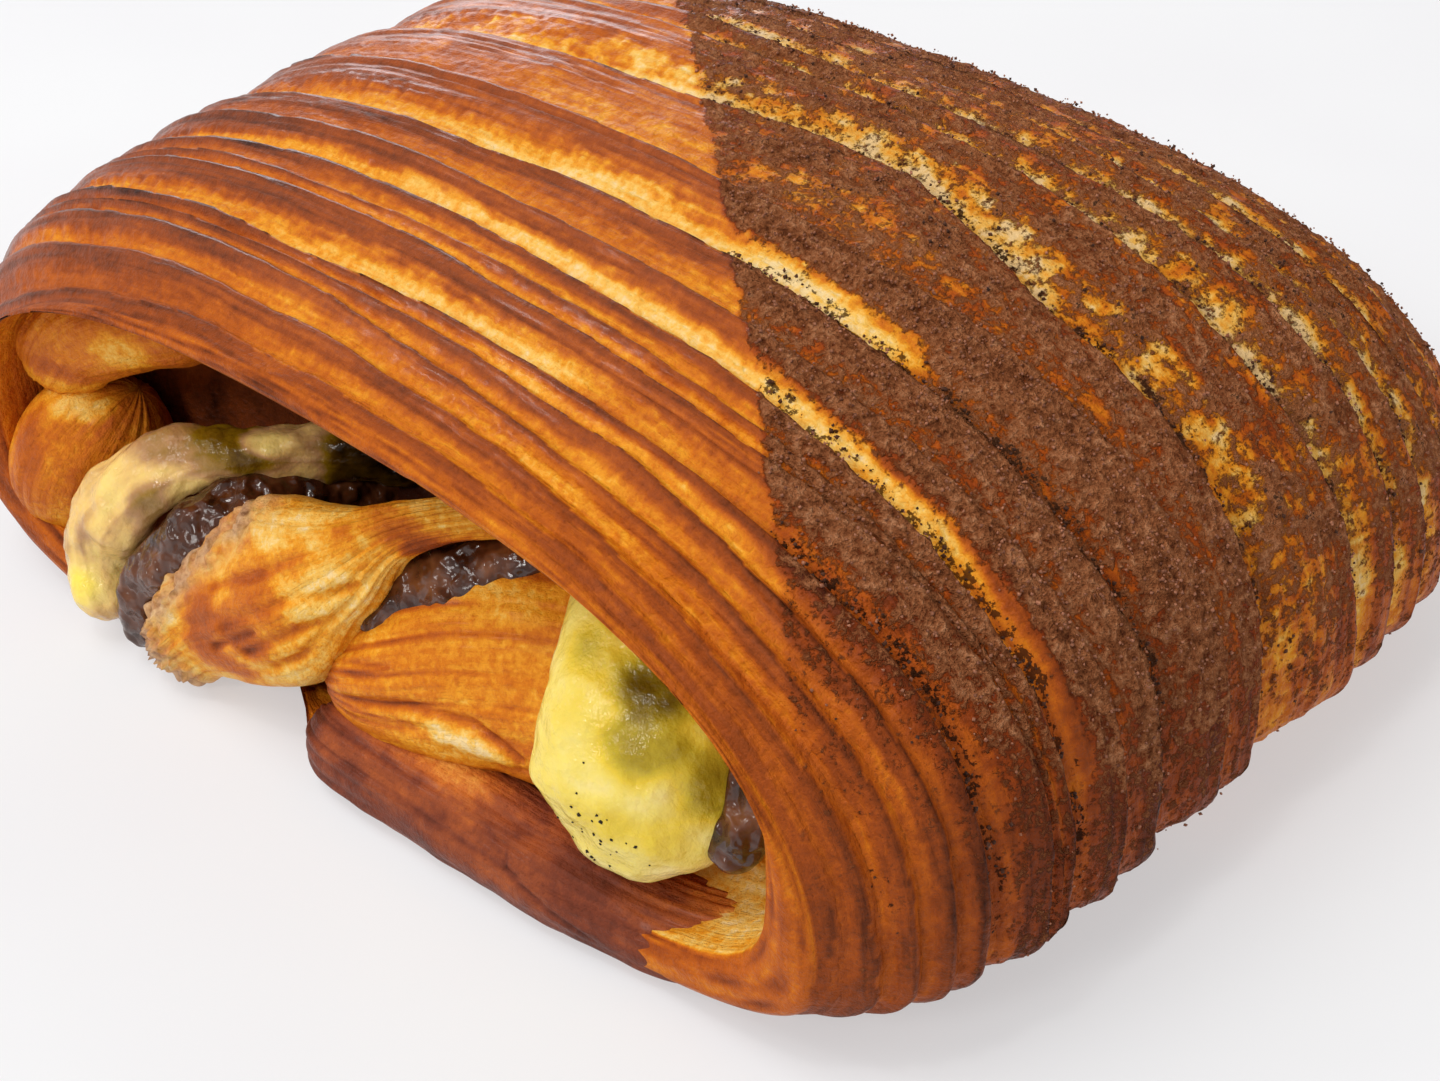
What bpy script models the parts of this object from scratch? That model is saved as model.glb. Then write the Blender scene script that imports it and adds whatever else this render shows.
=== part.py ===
"""A filled danish: a flattened roll of ridged laminated dough, open at its front end.

The roll lies along Y on its flat underside, with its mouth at -Y, its width along X and +Z up.
The origin is on the floor, under the middle of the roll. Lengths are metres.
"""

import math

import bmesh
import bpy
from mathutils import Vector

MM = 0.001

# Driving dimensions of the roll
WIDTH = 120 * MM
LENGTH = 106.3 * MM
HEIGHT = 44.9 * MM
SHOULDER = 12.4 * MM
TOP_FULLNESS = 2.70
RIM_FULLNESS = 2.30
BOTTOM_FULLNESS = 2.28
FRONT_SQUARENESS = 6.13
BACK_SQUARENESS = 2.96
FRONT_DROP = 0.147
BACK_DROP = 0.474
FRONT_FALL = 0.10
BACK_FALL = 0.35
FLAT_RISE = 0.8 * MM
FLAT_SHARE = 0.25

# The rim of the mouth and the far end
RIM_Y = -50.7 * MM
END_Y = 53.0 * MM
RIM_ROUND = 1.1 * MM
RIM_HOOPS = (0.0, 0.35, 1.1)
RIM_BLEND = 5.0
RIM_BLEND_START = 0.8

# Each ridge ends in a step towards the back: where it stands, and how deep the groove behind it is
RIDGE_STEPS = (
    (-48.4 * MM, 0.4 * MM),
    (-45.0 * MM, 0.9 * MM),
    (-41.4 * MM, 0.5 * MM),
    (-38.5 * MM, 1.0 * MM),
    (-32.8 * MM, 0.6 * MM),
    (-28.4 * MM, 1.1 * MM),
    (-24.0 * MM, 0.5 * MM),
    (-19.4 * MM, 1.4 * MM),
    (-11.6 * MM, 0.4 * MM),
    (-3.1 * MM, 1.3 * MM),
    (11.0 * MM, 1.1 * MM),
    (16.4 * MM, 0.9 * MM),
    (22.5 * MM, 1.0 * MM),
    (28.5 * MM, 0.9 * MM),
    (34.0 * MM, 0.8 * MM),
    (39.5 * MM, 0.7 * MM),
    (44.5 * MM, 0.6 * MM),
    (48.5 * MM, 0.4 * MM),
)
STEP_HALF = 0.25 * MM
RIDGE_RISE = 0.8
ROLL_COLUMNS = 40

# Hoops on the rise behind a step, as shares of its length: two where it is wide, one elsewhere
WIDE_PITCH = 4.2 * MM
WIDE_RISE = (0.35, 0.70)
NARROW_RISE = (0.5,)

# Clearance between the dough and its fillings, and the height of the soft ends over the floor
GAP = 0.3 * MM
SOFT_FLOOR = 0.15 * MM
FILLING_FLOOR = 0.45 * MM

# The hollow of the mouth: y, half width, floor and ceiling of each section, from the outside in
MOUTH = (
    (-57.0 * MM, 46.6 * MM, 4.0 * MM, 36.8 * MM),
    (-50.7 * MM, 45.8 * MM, 4.0 * MM, 36.4 * MM),
    (-44.0 * MM, 45.4 * MM, 4.6 * MM, 36.0 * MM),
    (-38.0 * MM, 41.0 * MM, 8.0 * MM, 34.6 * MM),
    (-33.5 * MM, 30.0 * MM, 14.0 * MM, 31.6 * MM),
    (-31.5 * MM, 18.0 * MM, 18.0 * MM, 28.6 * MM),
)
MOUTH_FULLNESS = 2.4
MOUTH_FLOOR_FULLNESS = 4.0
MOUTH_COLUMNS = 28

# The dimple at the far end, where the roll closes over its fillings
DIMPLE = (
    (57.0 * MM, 21.0 * MM, 3.4 * MM, 18.0 * MM),
    (50.4 * MM, 16.4 * MM, 4.0 * MM, 16.2 * MM),
    (47.6 * MM, 11.0 * MM, 5.6 * MM, 13.2 * MM),
)

# The cleft in the lower lip, under the twist
CLEFT_CENTRE = (-12.6 * MM, -53.8 * MM, -1.0 * MM)
CLEFT_RADII = (7.4 * MM, 10.4 * MM, 9.0 * MM)
CLEFT_SEGMENTS = 16
CLEFT_RINGS = 10

# Directions that the flat side of a fold faces
UP = Vector((0.0, 0.0, 1.0))
TO_FRONT = Vector((0.35, -0.72, 0.60)).normalized()
TO_RIGHT = Vector((0.80, -0.55, 0.25)).normalized()

# Folds of the dough inside the mouth. A station is x, y, z, half width and half thickness.
FOLDS = {
    "upper_fold": (TO_FRONT, (
        (-45, -45, 19.0, 4.6, 3.4),
        (-40.6, -43.6, 25.0, 5.6, 4.2),
        (-34, -41.4, 29.0, 5.8, 4.4),
        (-25, -38, 31.4, 5.2, 4.2),
    )),
    "lower_fold": (TO_RIGHT, (
        (-43, -45.6, 3.8, 5.0, 3.6),
        (-41.2, -45, 9, 7.2, 5.2),
        (-39, -43.4, 14.4, 7.4, 5.6),
        (-36.4, -41, 19.4, 5.6, 4.8),
    )),
    "twist": (TO_FRONT, (
        (-23.6, -50.6, 2.0, 3.0, 2.7),
        (-18, -48.5, 8.0, 5.6, 4.4),
        (-8.6, -47.0, 14.6, 8.0, 5.0),
        (-2.2, -46.0, 19.8, 5.4, 3.8),
        (3.4, -43.8, 24.6, 2.7, 2.3),
        (9.5, -40.0, 27.0, 2.5, 2.2),
        (20, -27.0, 27.0, 4.0, 4.0),
    )),
    "tongue": (TO_FRONT, (
        (-5.0, -46.6, 7.8, 4.6, 3.6),
        (2, -45.0, 10.8, 7.2, 5.2),
        (10, -42.5, 14.0, 8.6, 6.0),
        (20, -40.0, 16.0, 9.2, 6.0),
        (31, -38.0, 14.0, 8.0, 6.0),
        (40, -34.0, 10.0, 6.0, 5.0),
    )),
    "lower_lip": (UP, (
        (-4.8, -47.2, 3.8, 4.2, 3.6),
        (0.4, -48.2, 3.6, 4.8, 4.2),
        (11, -48.1, 3.6, 4.8, 4.4),
        (23, -47.4, 3.4, 4.8, 4.2),
        (34, -46.0, 3.2, 4.6, 3.8),
        (43, -42.5, 3.4, 4.2, 3.4),
    )),
}

# Fillings, in the same terms. The custard is two ribbons that meet in the middle of the roll.
CUSTARD = {
    "left_ribbon": (TO_FRONT, (
        (-30.0, -50.6, 2.3, 3.1, 2.3),
        (-32.2, -50.2, 7.5, 3.4, 2.2),
        (-30.8, -49.2, 13.0, 3.8, 2.2),
        (-26.4, -45.6, 17.8, 3.4, 2.2),
        (-20.5, -41.0, 19.8, 2.6, 2.2),
        (-13.0, -33.0, 19.6, 3.4, 2.6),
        (-4.0, -20.0, 19.0, 6.0, 3.0),
        (0.0, 10.0, 15.0, 9.0, 3.4),
        (0.0, 38.0, 11.5, 9.0, 3.4),
        (0.0, 51.4, 9.4, 9.0, 3.4),
    )),
    "right_drip": (TO_FRONT, (
        (29.6, -48.8, 9.2, 5.8, 3.1),
        (30.8, -47.6, 15.4, 8.2, 4.8),
        (29.0, -45.4, 21.4, 7.6, 4.6),
        (24.8, -41.6, 25.6, 5.2, 3.6),
        (18.0, -34.0, 26.0, 3.6, 3.0),
        (10.0, -22.0, 21.5, 4.0, 3.0),
        (0.0, -6.0, 17.0, 4.0, 3.0),
    )),
}
CHOCOLATE = {
    "chocolate_left": (TO_FRONT, (
        (-25.6, -51.0, 2.3, 1.9, 1.7),
        (-25.2, -50.2, 8.0, 2.8, 2.0),
        (-21.8, -48.4, 13.0, 3.2, 2.2),
        (-18.6, -44.2, 16.0, 3.4, 2.2),
        (-15.6, -38.0, 15.4, 3.4, 2.2),
        (-13.0, -28.0, 13.6, 3.2, 2.2),
    )),
    "chocolate_middle": (TO_FRONT, (
        (-0.6, -46.6, 14.4, 2.0, 1.6),
        (3.2, -43.8, 18.6, 3.2, 2.0),
        (8.4, -40.6, 21.4, 3.4, 2.2),
        (14.4, -36.0, 22.6, 3.2, 2.2),
        (17.0, -27.0, 20.0, 3.4, 2.4),
    )),
    "chocolate_right": (TO_FRONT, (
        (38.8, -46.2, 12.8, 1.8, 1.6),
        (39.4, -44.8, 16.4, 2.6, 2.2),
        (37.0, -39.0, 22.0, 3.4, 2.6),
        (30.0, -33.0, 22.0, 3.6, 2.8),
        (24.0, -25.0, 18.0, 3.6, 2.8),
    )),
}
FOLD_SEGMENTS = 14
FILLING_SEGMENTS = 12
RINGS_PER_STATION = 2
END_RINGS = 5

# How much rings crowd to a strand's ends, how closely an end closes, and the step that gives its direction
CROWDING = 0.35
END_CLOSE = 0.12
AHEAD = 0.05

# Looks of the nodes: colour, roughness and metallic; and the angle in degrees that keeps an edge sharp
SHARP_ANGLE = 35
BAKED_DOUGH = ((0.52, 0.22, 0.06), 0.45, 0.0)
CUSTARD_YELLOW = ((0.78, 0.66, 0.20), 0.30, 0.0)
CHOCOLATE_BROWN = ((0.05, 0.022, 0.014), 0.22, 0.0)


def clear_scene():
    """Remove the objects that the file opened with."""
    for found in list(bpy.data.objects):
        bpy.data.objects.remove(found, do_unlink=True)


def make_material(name, look):
    """Return a Principled material of one colour."""
    colour, roughness, metallic = look
    material = bpy.data.materials.new(name)
    material.use_nodes = True
    shader = material.node_tree.nodes["Principled BSDF"]
    shader.inputs["Base Color"].default_value = (*colour, 1.0)
    shader.inputs["Roughness"].default_value = roughness
    shader.inputs["Metallic"].default_value = metallic
    return material


def signed_power(value, power):
    """Raise the size of a value to a power and keep its sign."""
    return math.copysign(abs(value) ** power, value)


def smooth(value):
    """Ease from 0 to 1 as the value goes from 0 to 1."""
    value = min(max(value, 0.0), 1.0)
    return value * value * (3.0 - 2.0 * value)


def plan_share(y):
    """Share of the full half width that the roll has at y."""
    along = abs(y) / (LENGTH / 2)
    power = FRONT_SQUARENESS if y < 0 else BACK_SQUARENESS
    return max(1.0 - along ** power, 0.0) ** (1.0 / power)


def crown_height(y):
    """Height of the roll at y, over the floor."""
    along = y / (LENGTH / 2)
    drop, fall = (BACK_DROP, BACK_FALL) if y > 0 else (FRONT_DROP, FRONT_FALL)
    return HEIGHT * (1.0 - drop * along * along) * plan_share(y) ** fall


def ridge_depth(y):
    """Depth of the groove at y: full just behind a step, and gone before the next one."""
    for index, (start, depth) in enumerate(RIDGE_STEPS):
        last = index + 1 == len(RIDGE_STEPS)
        end = END_Y if last else RIDGE_STEPS[index + 1][0]
        if start < y <= end:
            return depth * (1.0 - smooth((y - start) / ((end - start) * RIDGE_RISE)))
    return 0.0


def rim_inset(y):
    """How far the edge of the mouth rounds in at y."""
    along = (y - RIM_Y) / (2.0 * RIM_ROUND)
    return 0.0 if along >= 1.0 else RIM_ROUND * (1.0 - math.sqrt(1.0 - (1.0 - along) ** 2))


def roll_hoop(y):
    """Points of the roll's outline in the plane at y, from +X over the top."""
    inset = ridge_depth(y) + rim_inset(y)
    half = WIDTH / 2 * plan_share(y) - inset
    top = crown_height(y) - inset
    shoulder = SHOULDER * min(1.0, top / HEIGHT)
    flat = min(FLAT_RISE, shoulder * FLAT_SHARE)
    to_rim = smooth(RIM_BLEND * (y / RIM_Y - RIM_BLEND_START))
    fullness = TOP_FULLNESS + (RIM_FULLNESS - TOP_FULLNESS) * to_rim
    points = []
    for column in range(ROLL_COLUMNS):
        turn = 2.0 * math.pi * column / ROLL_COLUMNS
        across, up = math.cos(turn), math.sin(turn)
        if up >= 0.0:
            x = half * signed_power(across, 2.0 / fullness)
            z = shoulder + (top - shoulder) * up ** (2.0 / fullness)
        else:
            x = half * signed_power(across, 2.0 / BOTTOM_FULLNESS)
            z = shoulder * (1.0 - abs(up) ** (2.0 / BOTTOM_FULLNESS))
            z = (max(z, flat) - flat) * shoulder / (shoulder - flat)
        points.append(Vector((x, y, z)))
    return points


def roll_rows():
    """Places along Y where the roll gets a hoop: two at each step, one or two on each rise."""
    rows = [RIM_Y + share * RIM_ROUND for share in RIM_HOOPS]
    for index, (start, _depth) in enumerate(RIDGE_STEPS):
        last = index + 1 == len(RIDGE_STEPS)
        end = END_Y if last else RIDGE_STEPS[index + 1][0]
        pitch = end - start
        shares = WIDE_RISE if pitch > WIDE_PITCH else NARROW_RISE
        rows += [start - STEP_HALF, start + STEP_HALF]
        rows += [start + share * pitch for share in shares]
    rows.append(END_Y)
    return rows


def section_ring(y, half, floor, ceiling, columns):
    """Points of a hollow's outline in the plane at y."""
    middle, rise = (floor + ceiling) / 2, (ceiling - floor) / 2
    points = []
    for column in range(columns):
        turn = 2.0 * math.pi * column / columns
        fullness = MOUTH_FULLNESS if turn < math.pi else MOUTH_FLOOR_FULLNESS
        x = half * signed_power(math.cos(turn), 2.0 / fullness)
        z = middle + rise * signed_power(math.sin(turn), 2.0 / fullness)
        points.append(Vector((x, y, z)))
    return points


def skin_rings(name, rings):
    """Join rings of points, in order, into a closed mesh object with flat ends."""
    mesh = bpy.data.meshes.new(name)
    work = bmesh.new()
    loops = [[work.verts.new(point) for point in ring] for ring in rings]
    for first, second in zip(loops, loops[1:]):
        count = len(first)
        for index in range(count):
            after = (index + 1) % count
            work.faces.new((first[index], first[after], second[after], second[index]))
    work.faces.new(reversed(loops[0]))
    work.faces.new(loops[-1])
    bmesh.ops.recalc_face_normals(work, faces=work.faces)
    work.to_mesh(mesh)
    work.free()
    made = bpy.data.objects.new(name, mesh)
    bpy.context.scene.collection.objects.link(made)
    return made


def spline_value(stations, place):
    """Read a smooth curve through the stations at a place counted in stations."""
    last = len(stations) - 1
    index = min(int(place), last - 1)
    t = place - index
    before = stations[max(index - 1, 0)]
    start = stations[index]
    end = stations[index + 1]
    after = stations[min(index + 2, last)]
    values = []
    for a, b, c, d in zip(before, start, end, after):
        slope = 0.5 * (c - a)
        curve = a - 2.5 * b + 2.0 * c - 0.5 * d
        twist = 0.5 * (3.0 * (b - c) + d - a)
        values.append(b + slope * t + curve * t * t + twist * t ** 3)
    return values


def strand(name, facing, stations, segments, floor, swell=0.0):
    """Make a rounded strand of dough or filling along its stations, given in millimetres."""
    last = len(stations) - 1
    count = last * RINGS_PER_STATION + END_RINGS
    rings = []
    for ring in range(count):
        even = ring / (count - 1)
        crowded = 0.5 - 0.5 * math.cos(math.pi * even)
        place = (CROWDING * crowded + (1.0 - CROWDING) * even) * last
        centre = Vector(spline_value(stations, place)[:3])
        ahead = Vector(spline_value(stations, min(place + AHEAD, last))[:3])
        behind = Vector(spline_value(stations, max(place - AHEAD, 0.0))[:3])
        along = (ahead - behind).normalized()
        side = along.cross(facing).normalized()
        normal = side.cross(along)
        half, thick = spline_value(stations, place)[3:]
        near_end = min(place, last - place) * (ahead - behind).length / (2.0 * AHEAD)
        blunt = min(near_end / max(half, 1.0), 1.0)
        close = max(math.sqrt(1.0 - (1.0 - blunt) ** 2), END_CLOSE)
        points = []
        for segment in range(segments):
            turn = 2.0 * math.pi * segment / segments
            offset = side * (half * close * math.cos(turn) + swell * math.cos(turn))
            offset += normal * (thick * close * math.sin(turn) + swell * math.sin(turn))
            point = (centre + offset) * MM
            point.z = max(point.z, floor)
            points.append(point)
        rings.append(points)
    return skin_rings(name, rings)


def ellipsoid(name, centre, radii):
    """Make a closed egg shape of the given radii."""
    mesh = bpy.data.meshes.new(name)
    work = bmesh.new()
    bmesh.ops.create_uvsphere(work, u_segments=CLEFT_SEGMENTS, v_segments=CLEFT_RINGS, radius=1.0)
    bmesh.ops.scale(work, vec=radii, verts=work.verts)
    bmesh.ops.translate(work, vec=centre, verts=work.verts)
    work.to_mesh(mesh)
    work.free()
    made = bpy.data.objects.new(name, mesh)
    bpy.context.scene.collection.objects.link(made)
    return made


def combine(target, others, operation, solver="EXACT"):
    """Join the others to the target, or cut them from it, and remove them."""
    group = bpy.data.collections.new("operands")
    for other in others:
        group.objects.link(other)
    modifier = target.modifiers.new(operation.title(), "BOOLEAN")
    modifier.operation = operation
    modifier.solver = solver
    modifier.operand_type = "COLLECTION"
    modifier.collection = group
    graph = bpy.context.evaluated_depsgraph_get()
    result = bpy.data.meshes.new_from_object(target.evaluated_get(graph))
    target.modifiers.clear()
    target.data = result
    for other in others:
        bpy.data.objects.remove(other, do_unlink=True)
    bpy.data.collections.remove(group)


def finish_node(node, look):
    """Give a finished solid its material and smooth shading with sharp ridges."""
    node.data.materials.clear()
    node.data.materials.append(make_material(node.name, look))
    node.data.shade_smooth()
    node.data.set_sharp_from_angle(angle=math.radians(SHARP_ANGLE))


def build_roll():
    """Return the ridged outer roll with its mouth, far dimple and cleft cut out."""
    roll = skin_rings("pastry", [roll_hoop(y) for y in roll_rows()])
    mouth = skin_rings("mouth", [section_ring(*each, MOUTH_COLUMNS) for each in MOUTH])
    dimple = skin_rings("dimple", [section_ring(*each, MOUTH_COLUMNS) for each in DIMPLE])
    combine(roll, [mouth, dimple], "DIFFERENCE", "MANIFOLD")
    folds = []
    for name, (facing, stations) in FOLDS.items():
        folds.append(strand(name, facing, stations, FOLD_SEGMENTS, SOFT_FLOOR))
    combine(roll, folds, "UNION")
    return roll


def build_chocolate():
    """Return the three ribbons of chocolate."""
    ribbons = []
    for name, (facing, stations) in CHOCOLATE.items():
        ribbons.append(strand(name, facing, stations, FILLING_SEGMENTS, FILLING_FLOOR))
    return ribbons


def clearance_cutters(group):
    """Return copies of a group's strands that are one gap fatter all round."""
    cutters = []
    for name, (facing, stations) in group.items():
        floor = FILLING_FLOOR - GAP
        cutters.append(strand(name + "_room", facing, stations, FILLING_SEGMENTS, floor, GAP / MM))
    return cutters


def build_custard():
    """Return the custard, one body that shows at both ends of the roll."""
    parts = []
    for name, (facing, stations) in CUSTARD.items():
        parts.append(strand(name, facing, stations, FILLING_SEGMENTS, FILLING_FLOOR))
    custard = parts[0]
    custard.name = "custard"
    combine(custard, parts[1:], "UNION")
    combine(custard, clearance_cutters(CHOCOLATE), "DIFFERENCE")
    return custard


def main():
    """Build the five nodes of the danish."""
    clear_scene()
    roll = build_roll()
    cleft = ellipsoid("cleft", CLEFT_CENTRE, CLEFT_RADII)
    combine(roll, [cleft] + clearance_cutters(CUSTARD) + clearance_cutters(CHOCOLATE), "DIFFERENCE")
    finish_node(roll, BAKED_DOUGH)
    finish_node(build_custard(), CUSTARD_YELLOW)
    for ribbon in build_chocolate():
        finish_node(ribbon, CHOCOLATE_BROWN)


main()
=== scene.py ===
"""Looks of a filled danish: ridged, cocoa-dusted laminated dough around custard and chocolate.

Shapes are worked out in millimetres, in the part's own frame, and become metres in their meshes.
The roll lies along Y with its mouth at -Y and +Z up.
"""

import logging
import math
from dataclasses import dataclass, field
from enum import Enum

import bpy
import numpy as np
from mathutils import Matrix, Vector


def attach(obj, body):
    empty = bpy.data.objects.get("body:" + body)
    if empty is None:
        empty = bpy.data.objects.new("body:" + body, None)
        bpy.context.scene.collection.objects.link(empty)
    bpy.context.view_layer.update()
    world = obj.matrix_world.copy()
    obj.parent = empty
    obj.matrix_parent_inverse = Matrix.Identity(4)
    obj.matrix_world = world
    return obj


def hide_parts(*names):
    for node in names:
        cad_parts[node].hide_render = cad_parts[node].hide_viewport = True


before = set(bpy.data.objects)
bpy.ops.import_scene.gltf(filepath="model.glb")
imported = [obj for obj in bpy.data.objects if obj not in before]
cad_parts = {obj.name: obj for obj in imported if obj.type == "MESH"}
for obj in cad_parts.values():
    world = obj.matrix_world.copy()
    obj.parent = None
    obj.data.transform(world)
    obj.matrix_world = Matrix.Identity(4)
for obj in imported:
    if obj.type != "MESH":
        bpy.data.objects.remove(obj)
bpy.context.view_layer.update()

MM = 0.001
BODY = "root"
LOG = logging.getLogger("danish")
Array = np.ndarray
Triple = tuple[float, float, float]
Sections = tuple[tuple[float, float, float, float], ...]
Stops = tuple[tuple[float, tuple[float, ...]], ...]
Piece = bpy.types.Object
Socket = bpy.types.NodeSocket


class Slot(Enum):
    """The record's material slots."""

    DOUGH = "baked_dough"
    CUSTARD = "custard"
    CHOCOLATE = "chocolate"


def smooth(value: Array) -> Array:
    """Ease from 0 to 1 as the value goes from 0 to 1."""
    value = np.clip(value, 0.0, 1.0)
    return value * value * (3.0 - 2.0 * value)


def band(value: Array, middle: float, half: float) -> Array:
    """Rise to 1 at the middle and fall to 0 half a width away on either side."""
    return smooth(1.0 - np.abs(value - middle) / half)


def signed_power(value: Array, power: float) -> Array:
    """Raise the size of a value to a power and keep its sign."""
    return np.sign(value) * np.abs(value) ** power


def linear(red: float, green: float, blue: float) -> tuple[float, float, float, float]:
    """Turn a screen colour of 0 to 255 into the linear colour that shaders take.

    Args:
        red: Screen red.
        green: Screen green.
        blue: Screen blue.

    Returns:
        The linear colour with full alpha.
    """
    shares = [channel / 255.0 for channel in (red, green, blue)]
    values = [s / 12.92 if s <= 0.04045 else ((s + 0.055) / 1.055) ** 2.4 for s in shares]
    return (values[0], values[1], values[2], 1.0)


def shades(*rows: tuple[float, float, float, float]) -> Stops:
    """Turn rows of place, red, green and blue into the stops of a colour ramp."""
    return tuple((row[0], linear(*row[1:])) for row in rows)


def hairline(value: Array) -> Array:
    """Return 1 where a noise crosses zero and 0 a little way off: a thin cut between layers."""
    return np.maximum(0.0, 1.0 - 5.0 * np.abs(value))


def dress(piece: Piece, material: bpy.types.Material, node: str | None = None) -> Piece:
    """Give a piece its material, and hide the solid that it replaces.

    Args:
        piece: The piece.
        material: Its finish.
        node: The solid that the piece replaces, if any.

    Returns:
        The same piece.
    """
    piece.data.materials.append(material)
    if node is not None:
        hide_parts(node)
    return piece


def place_mesh(name: str, mesh: bpy.types.Mesh) -> Piece:
    """Put a mesh into the scene as an object of the given name.

    Args:
        name: Name of the object.
        mesh: Its mesh.

    Returns:
        The new object.
    """
    made = bpy.data.objects.new(name, mesh)
    bpy.context.scene.collection.objects.link(made)
    return made


class Noise:
    """Seeded smooth noise, read for whole arrays of places at once."""

    SIZE = 256
    GAIN = 1.7
    LAYER_SHIFT = 17.3

    def __init__(self, seed: int) -> None:
        """Draw the tables.

        Args:
            seed: Start of the random draw.
        """
        draw = np.random.default_rng(seed)
        self.order = draw.permutation(self.SIZE)
        slopes = draw.normal(size=(self.SIZE, 3))
        self.slopes = slopes / np.linalg.norm(slopes, axis=1, keepdims=True)
        self.spots = draw.random((self.SIZE, 2))

    def corner(self, i: Array, j: Array, k: Array | int) -> Array:
        """Return the table entry of each lattice corner."""
        mask = self.SIZE - 1
        return self.order[(self.order[(self.order[i & mask] + j) & mask] + k) & mask]

    def read(self, x: Array, y: Array, z: Array | float = 0.0) -> Array:
        """Read the noise.

        Args:
            x: First coordinate, in lattice steps.
            y: Second coordinate.
            z: Third coordinate.

        Returns:
            Values of about -1 to 1.
        """
        x, y, z = np.broadcast_arrays(x, y, z)
        whole = [np.floor(axis).astype(np.int64) for axis in (x, y, z)]
        part = [axis - low for axis, low in zip((x, y, z), whole)]
        ease = [share ** 3 * (share * (share * 6.0 - 15.0) + 10.0) for share in part]
        total = np.zeros(x.shape)
        for step in range(8):
            bits = (step & 1, step >> 1 & 1, step >> 2 & 1)
            entry = self.corner(*(low + bit for low, bit in zip(whole, bits)))
            reach = sum(self.slopes[entry, axis] * (part[axis] - bits[axis]) for axis in range(3))
            weight = 1.0
            for axis in range(3):
                weight = weight * (ease[axis] if bits[axis] else 1.0 - ease[axis])
            total += reach * weight
        return total * self.GAIN

    def layered(self, x: Array, y: Array, z: Array | float = 0.0) -> Array:
        """Add three layers of noise, each with half the size and half the strength of the last.

        Args:
            x: First coordinate, in lattice steps.
            y: Second coordinate.
            z: Third coordinate.

        Returns:
            Values of about -1.7 to 1.7.
        """
        total = np.zeros(np.broadcast_shapes(np.shape(x), np.shape(y), np.shape(z)))
        for layer in range(3):
            scale = 2.0 ** layer
            total += self.read(x * scale + self.LAYER_SHIFT * layer, y * scale, z * scale) / scale
        return total

    def cells(self, x: Array, y: Array) -> Array:
        """Return how far each place is from the nearest scattered spot, in lattice steps.

        Args:
            x: First coordinate, in lattice steps.
            y: Second coordinate.

        Returns:
            The distances.
        """
        low_x, low_y = np.floor(x).astype(np.int64), np.floor(y).astype(np.int64)
        nearest = np.full(x.shape, 9.0)
        for shift_x in (-1, 0, 1):
            for shift_y in (-1, 0, 1):
                i, j = low_x + shift_x, low_y + shift_y
                spot = self.spots[self.corner(i, j, 0)]
                away = np.hypot(i + spot[..., 0] - x, j + spot[..., 1] - y)
                nearest = np.minimum(nearest, away)
        return nearest


@dataclass
class Sheet:
    """A grid of points in millimetres, with values known at each: rows run along the piece."""

    points: Array
    values: dict[str, Array] = field(default_factory=dict)

    def normals(self) -> Array:
        """Return the outward direction at each point; the columns close on themselves.

        Returns:
            Unit vectors by row and column.
        """
        ahead = np.gradient(self.points, axis=0)
        around = np.roll(self.points, -1, axis=1) - np.roll(self.points, 1, axis=1)
        out = np.cross(ahead, around)
        return out / np.maximum(np.linalg.norm(out, axis=-1, keepdims=True), 1e-9)

    def push(self, amount: Array) -> None:
        """Move each point outward by an amount in millimetres."""
        self.points = self.points + self.normals() * amount[..., None]

    def piece(
        self, name: str, first: int = 0, last: int | None = None, caps: bool = True
    ) -> Piece:
        """Make a mesh object of the rows from first to last.

        Args:
            name: Name of the piece.
            first: First row.
            last: Last row, or None for the end.
            caps: Whether the first and last rows close to a point.

        Returns:
            The new object, with each value as a point attribute.
        """
        last = len(self.points) - 1 if last is None else last
        points = self.points[first:last + 1]
        rows, columns = points.shape[:2]
        index = np.arange(rows * columns).reshape(rows, columns)
        after = np.roll(index, -1, axis=1)
        quads = np.stack([index[:-1], index[1:], after[1:], after[:-1]], axis=-1).reshape(-1, 4)
        vertices = points.reshape(-1, 3)
        fans: list[Array] = []
        if caps:
            start, end = rows * columns, rows * columns + 1
            vertices = np.concatenate([vertices, points[:1].mean(axis=1), points[-1:].mean(axis=1)])
            fans.append(np.stack([np.full(columns, start), index[0], after[0]], axis=-1))
            fans.append(np.stack([np.full(columns, end), after[-1], index[-1]], axis=-1))
        fan = np.concatenate(fans) if fans else np.zeros((0, 3), dtype=np.int64)
        mesh = bpy.data.meshes.new(name)
        mesh.vertices.add(len(vertices))
        mesh.vertices.foreach_set("co", (vertices * MM).astype(np.float32).ravel())
        mesh.loops.add(quads.size + fan.size)
        corners = np.concatenate([quads.ravel(), fan.ravel()])
        mesh.loops.foreach_set("vertex_index", corners.astype(np.int32))
        mesh.polygons.add(len(quads) + len(fan))
        starts = np.concatenate([np.arange(len(quads)) * 4, quads.size + np.arange(len(fan)) * 3])
        mesh.polygons.foreach_set("loop_start", starts.astype(np.int32))
        mesh.update(calc_edges=True)
        mesh.polygons.foreach_set("use_smooth", np.ones(len(mesh.polygons), dtype=bool))
        for label, grid in self.values.items():
            rows_kept = grid[first:last + 1]
            flat = rows_kept.ravel()
            if caps:
                flat = np.concatenate([flat, [rows_kept[0].mean(), rows_kept[-1].mean()]])
            attribute = mesh.attributes.new(label, "FLOAT", "POINT")
            attribute.data.foreach_set("value", flat.astype(np.float32))
        if not caps:
            whole = self.normals()[first:last + 1].reshape(-1, 3)
            mesh.normals_split_custom_set_from_vertices(whole.tolist())
        return place_mesh(name, mesh)


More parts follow.
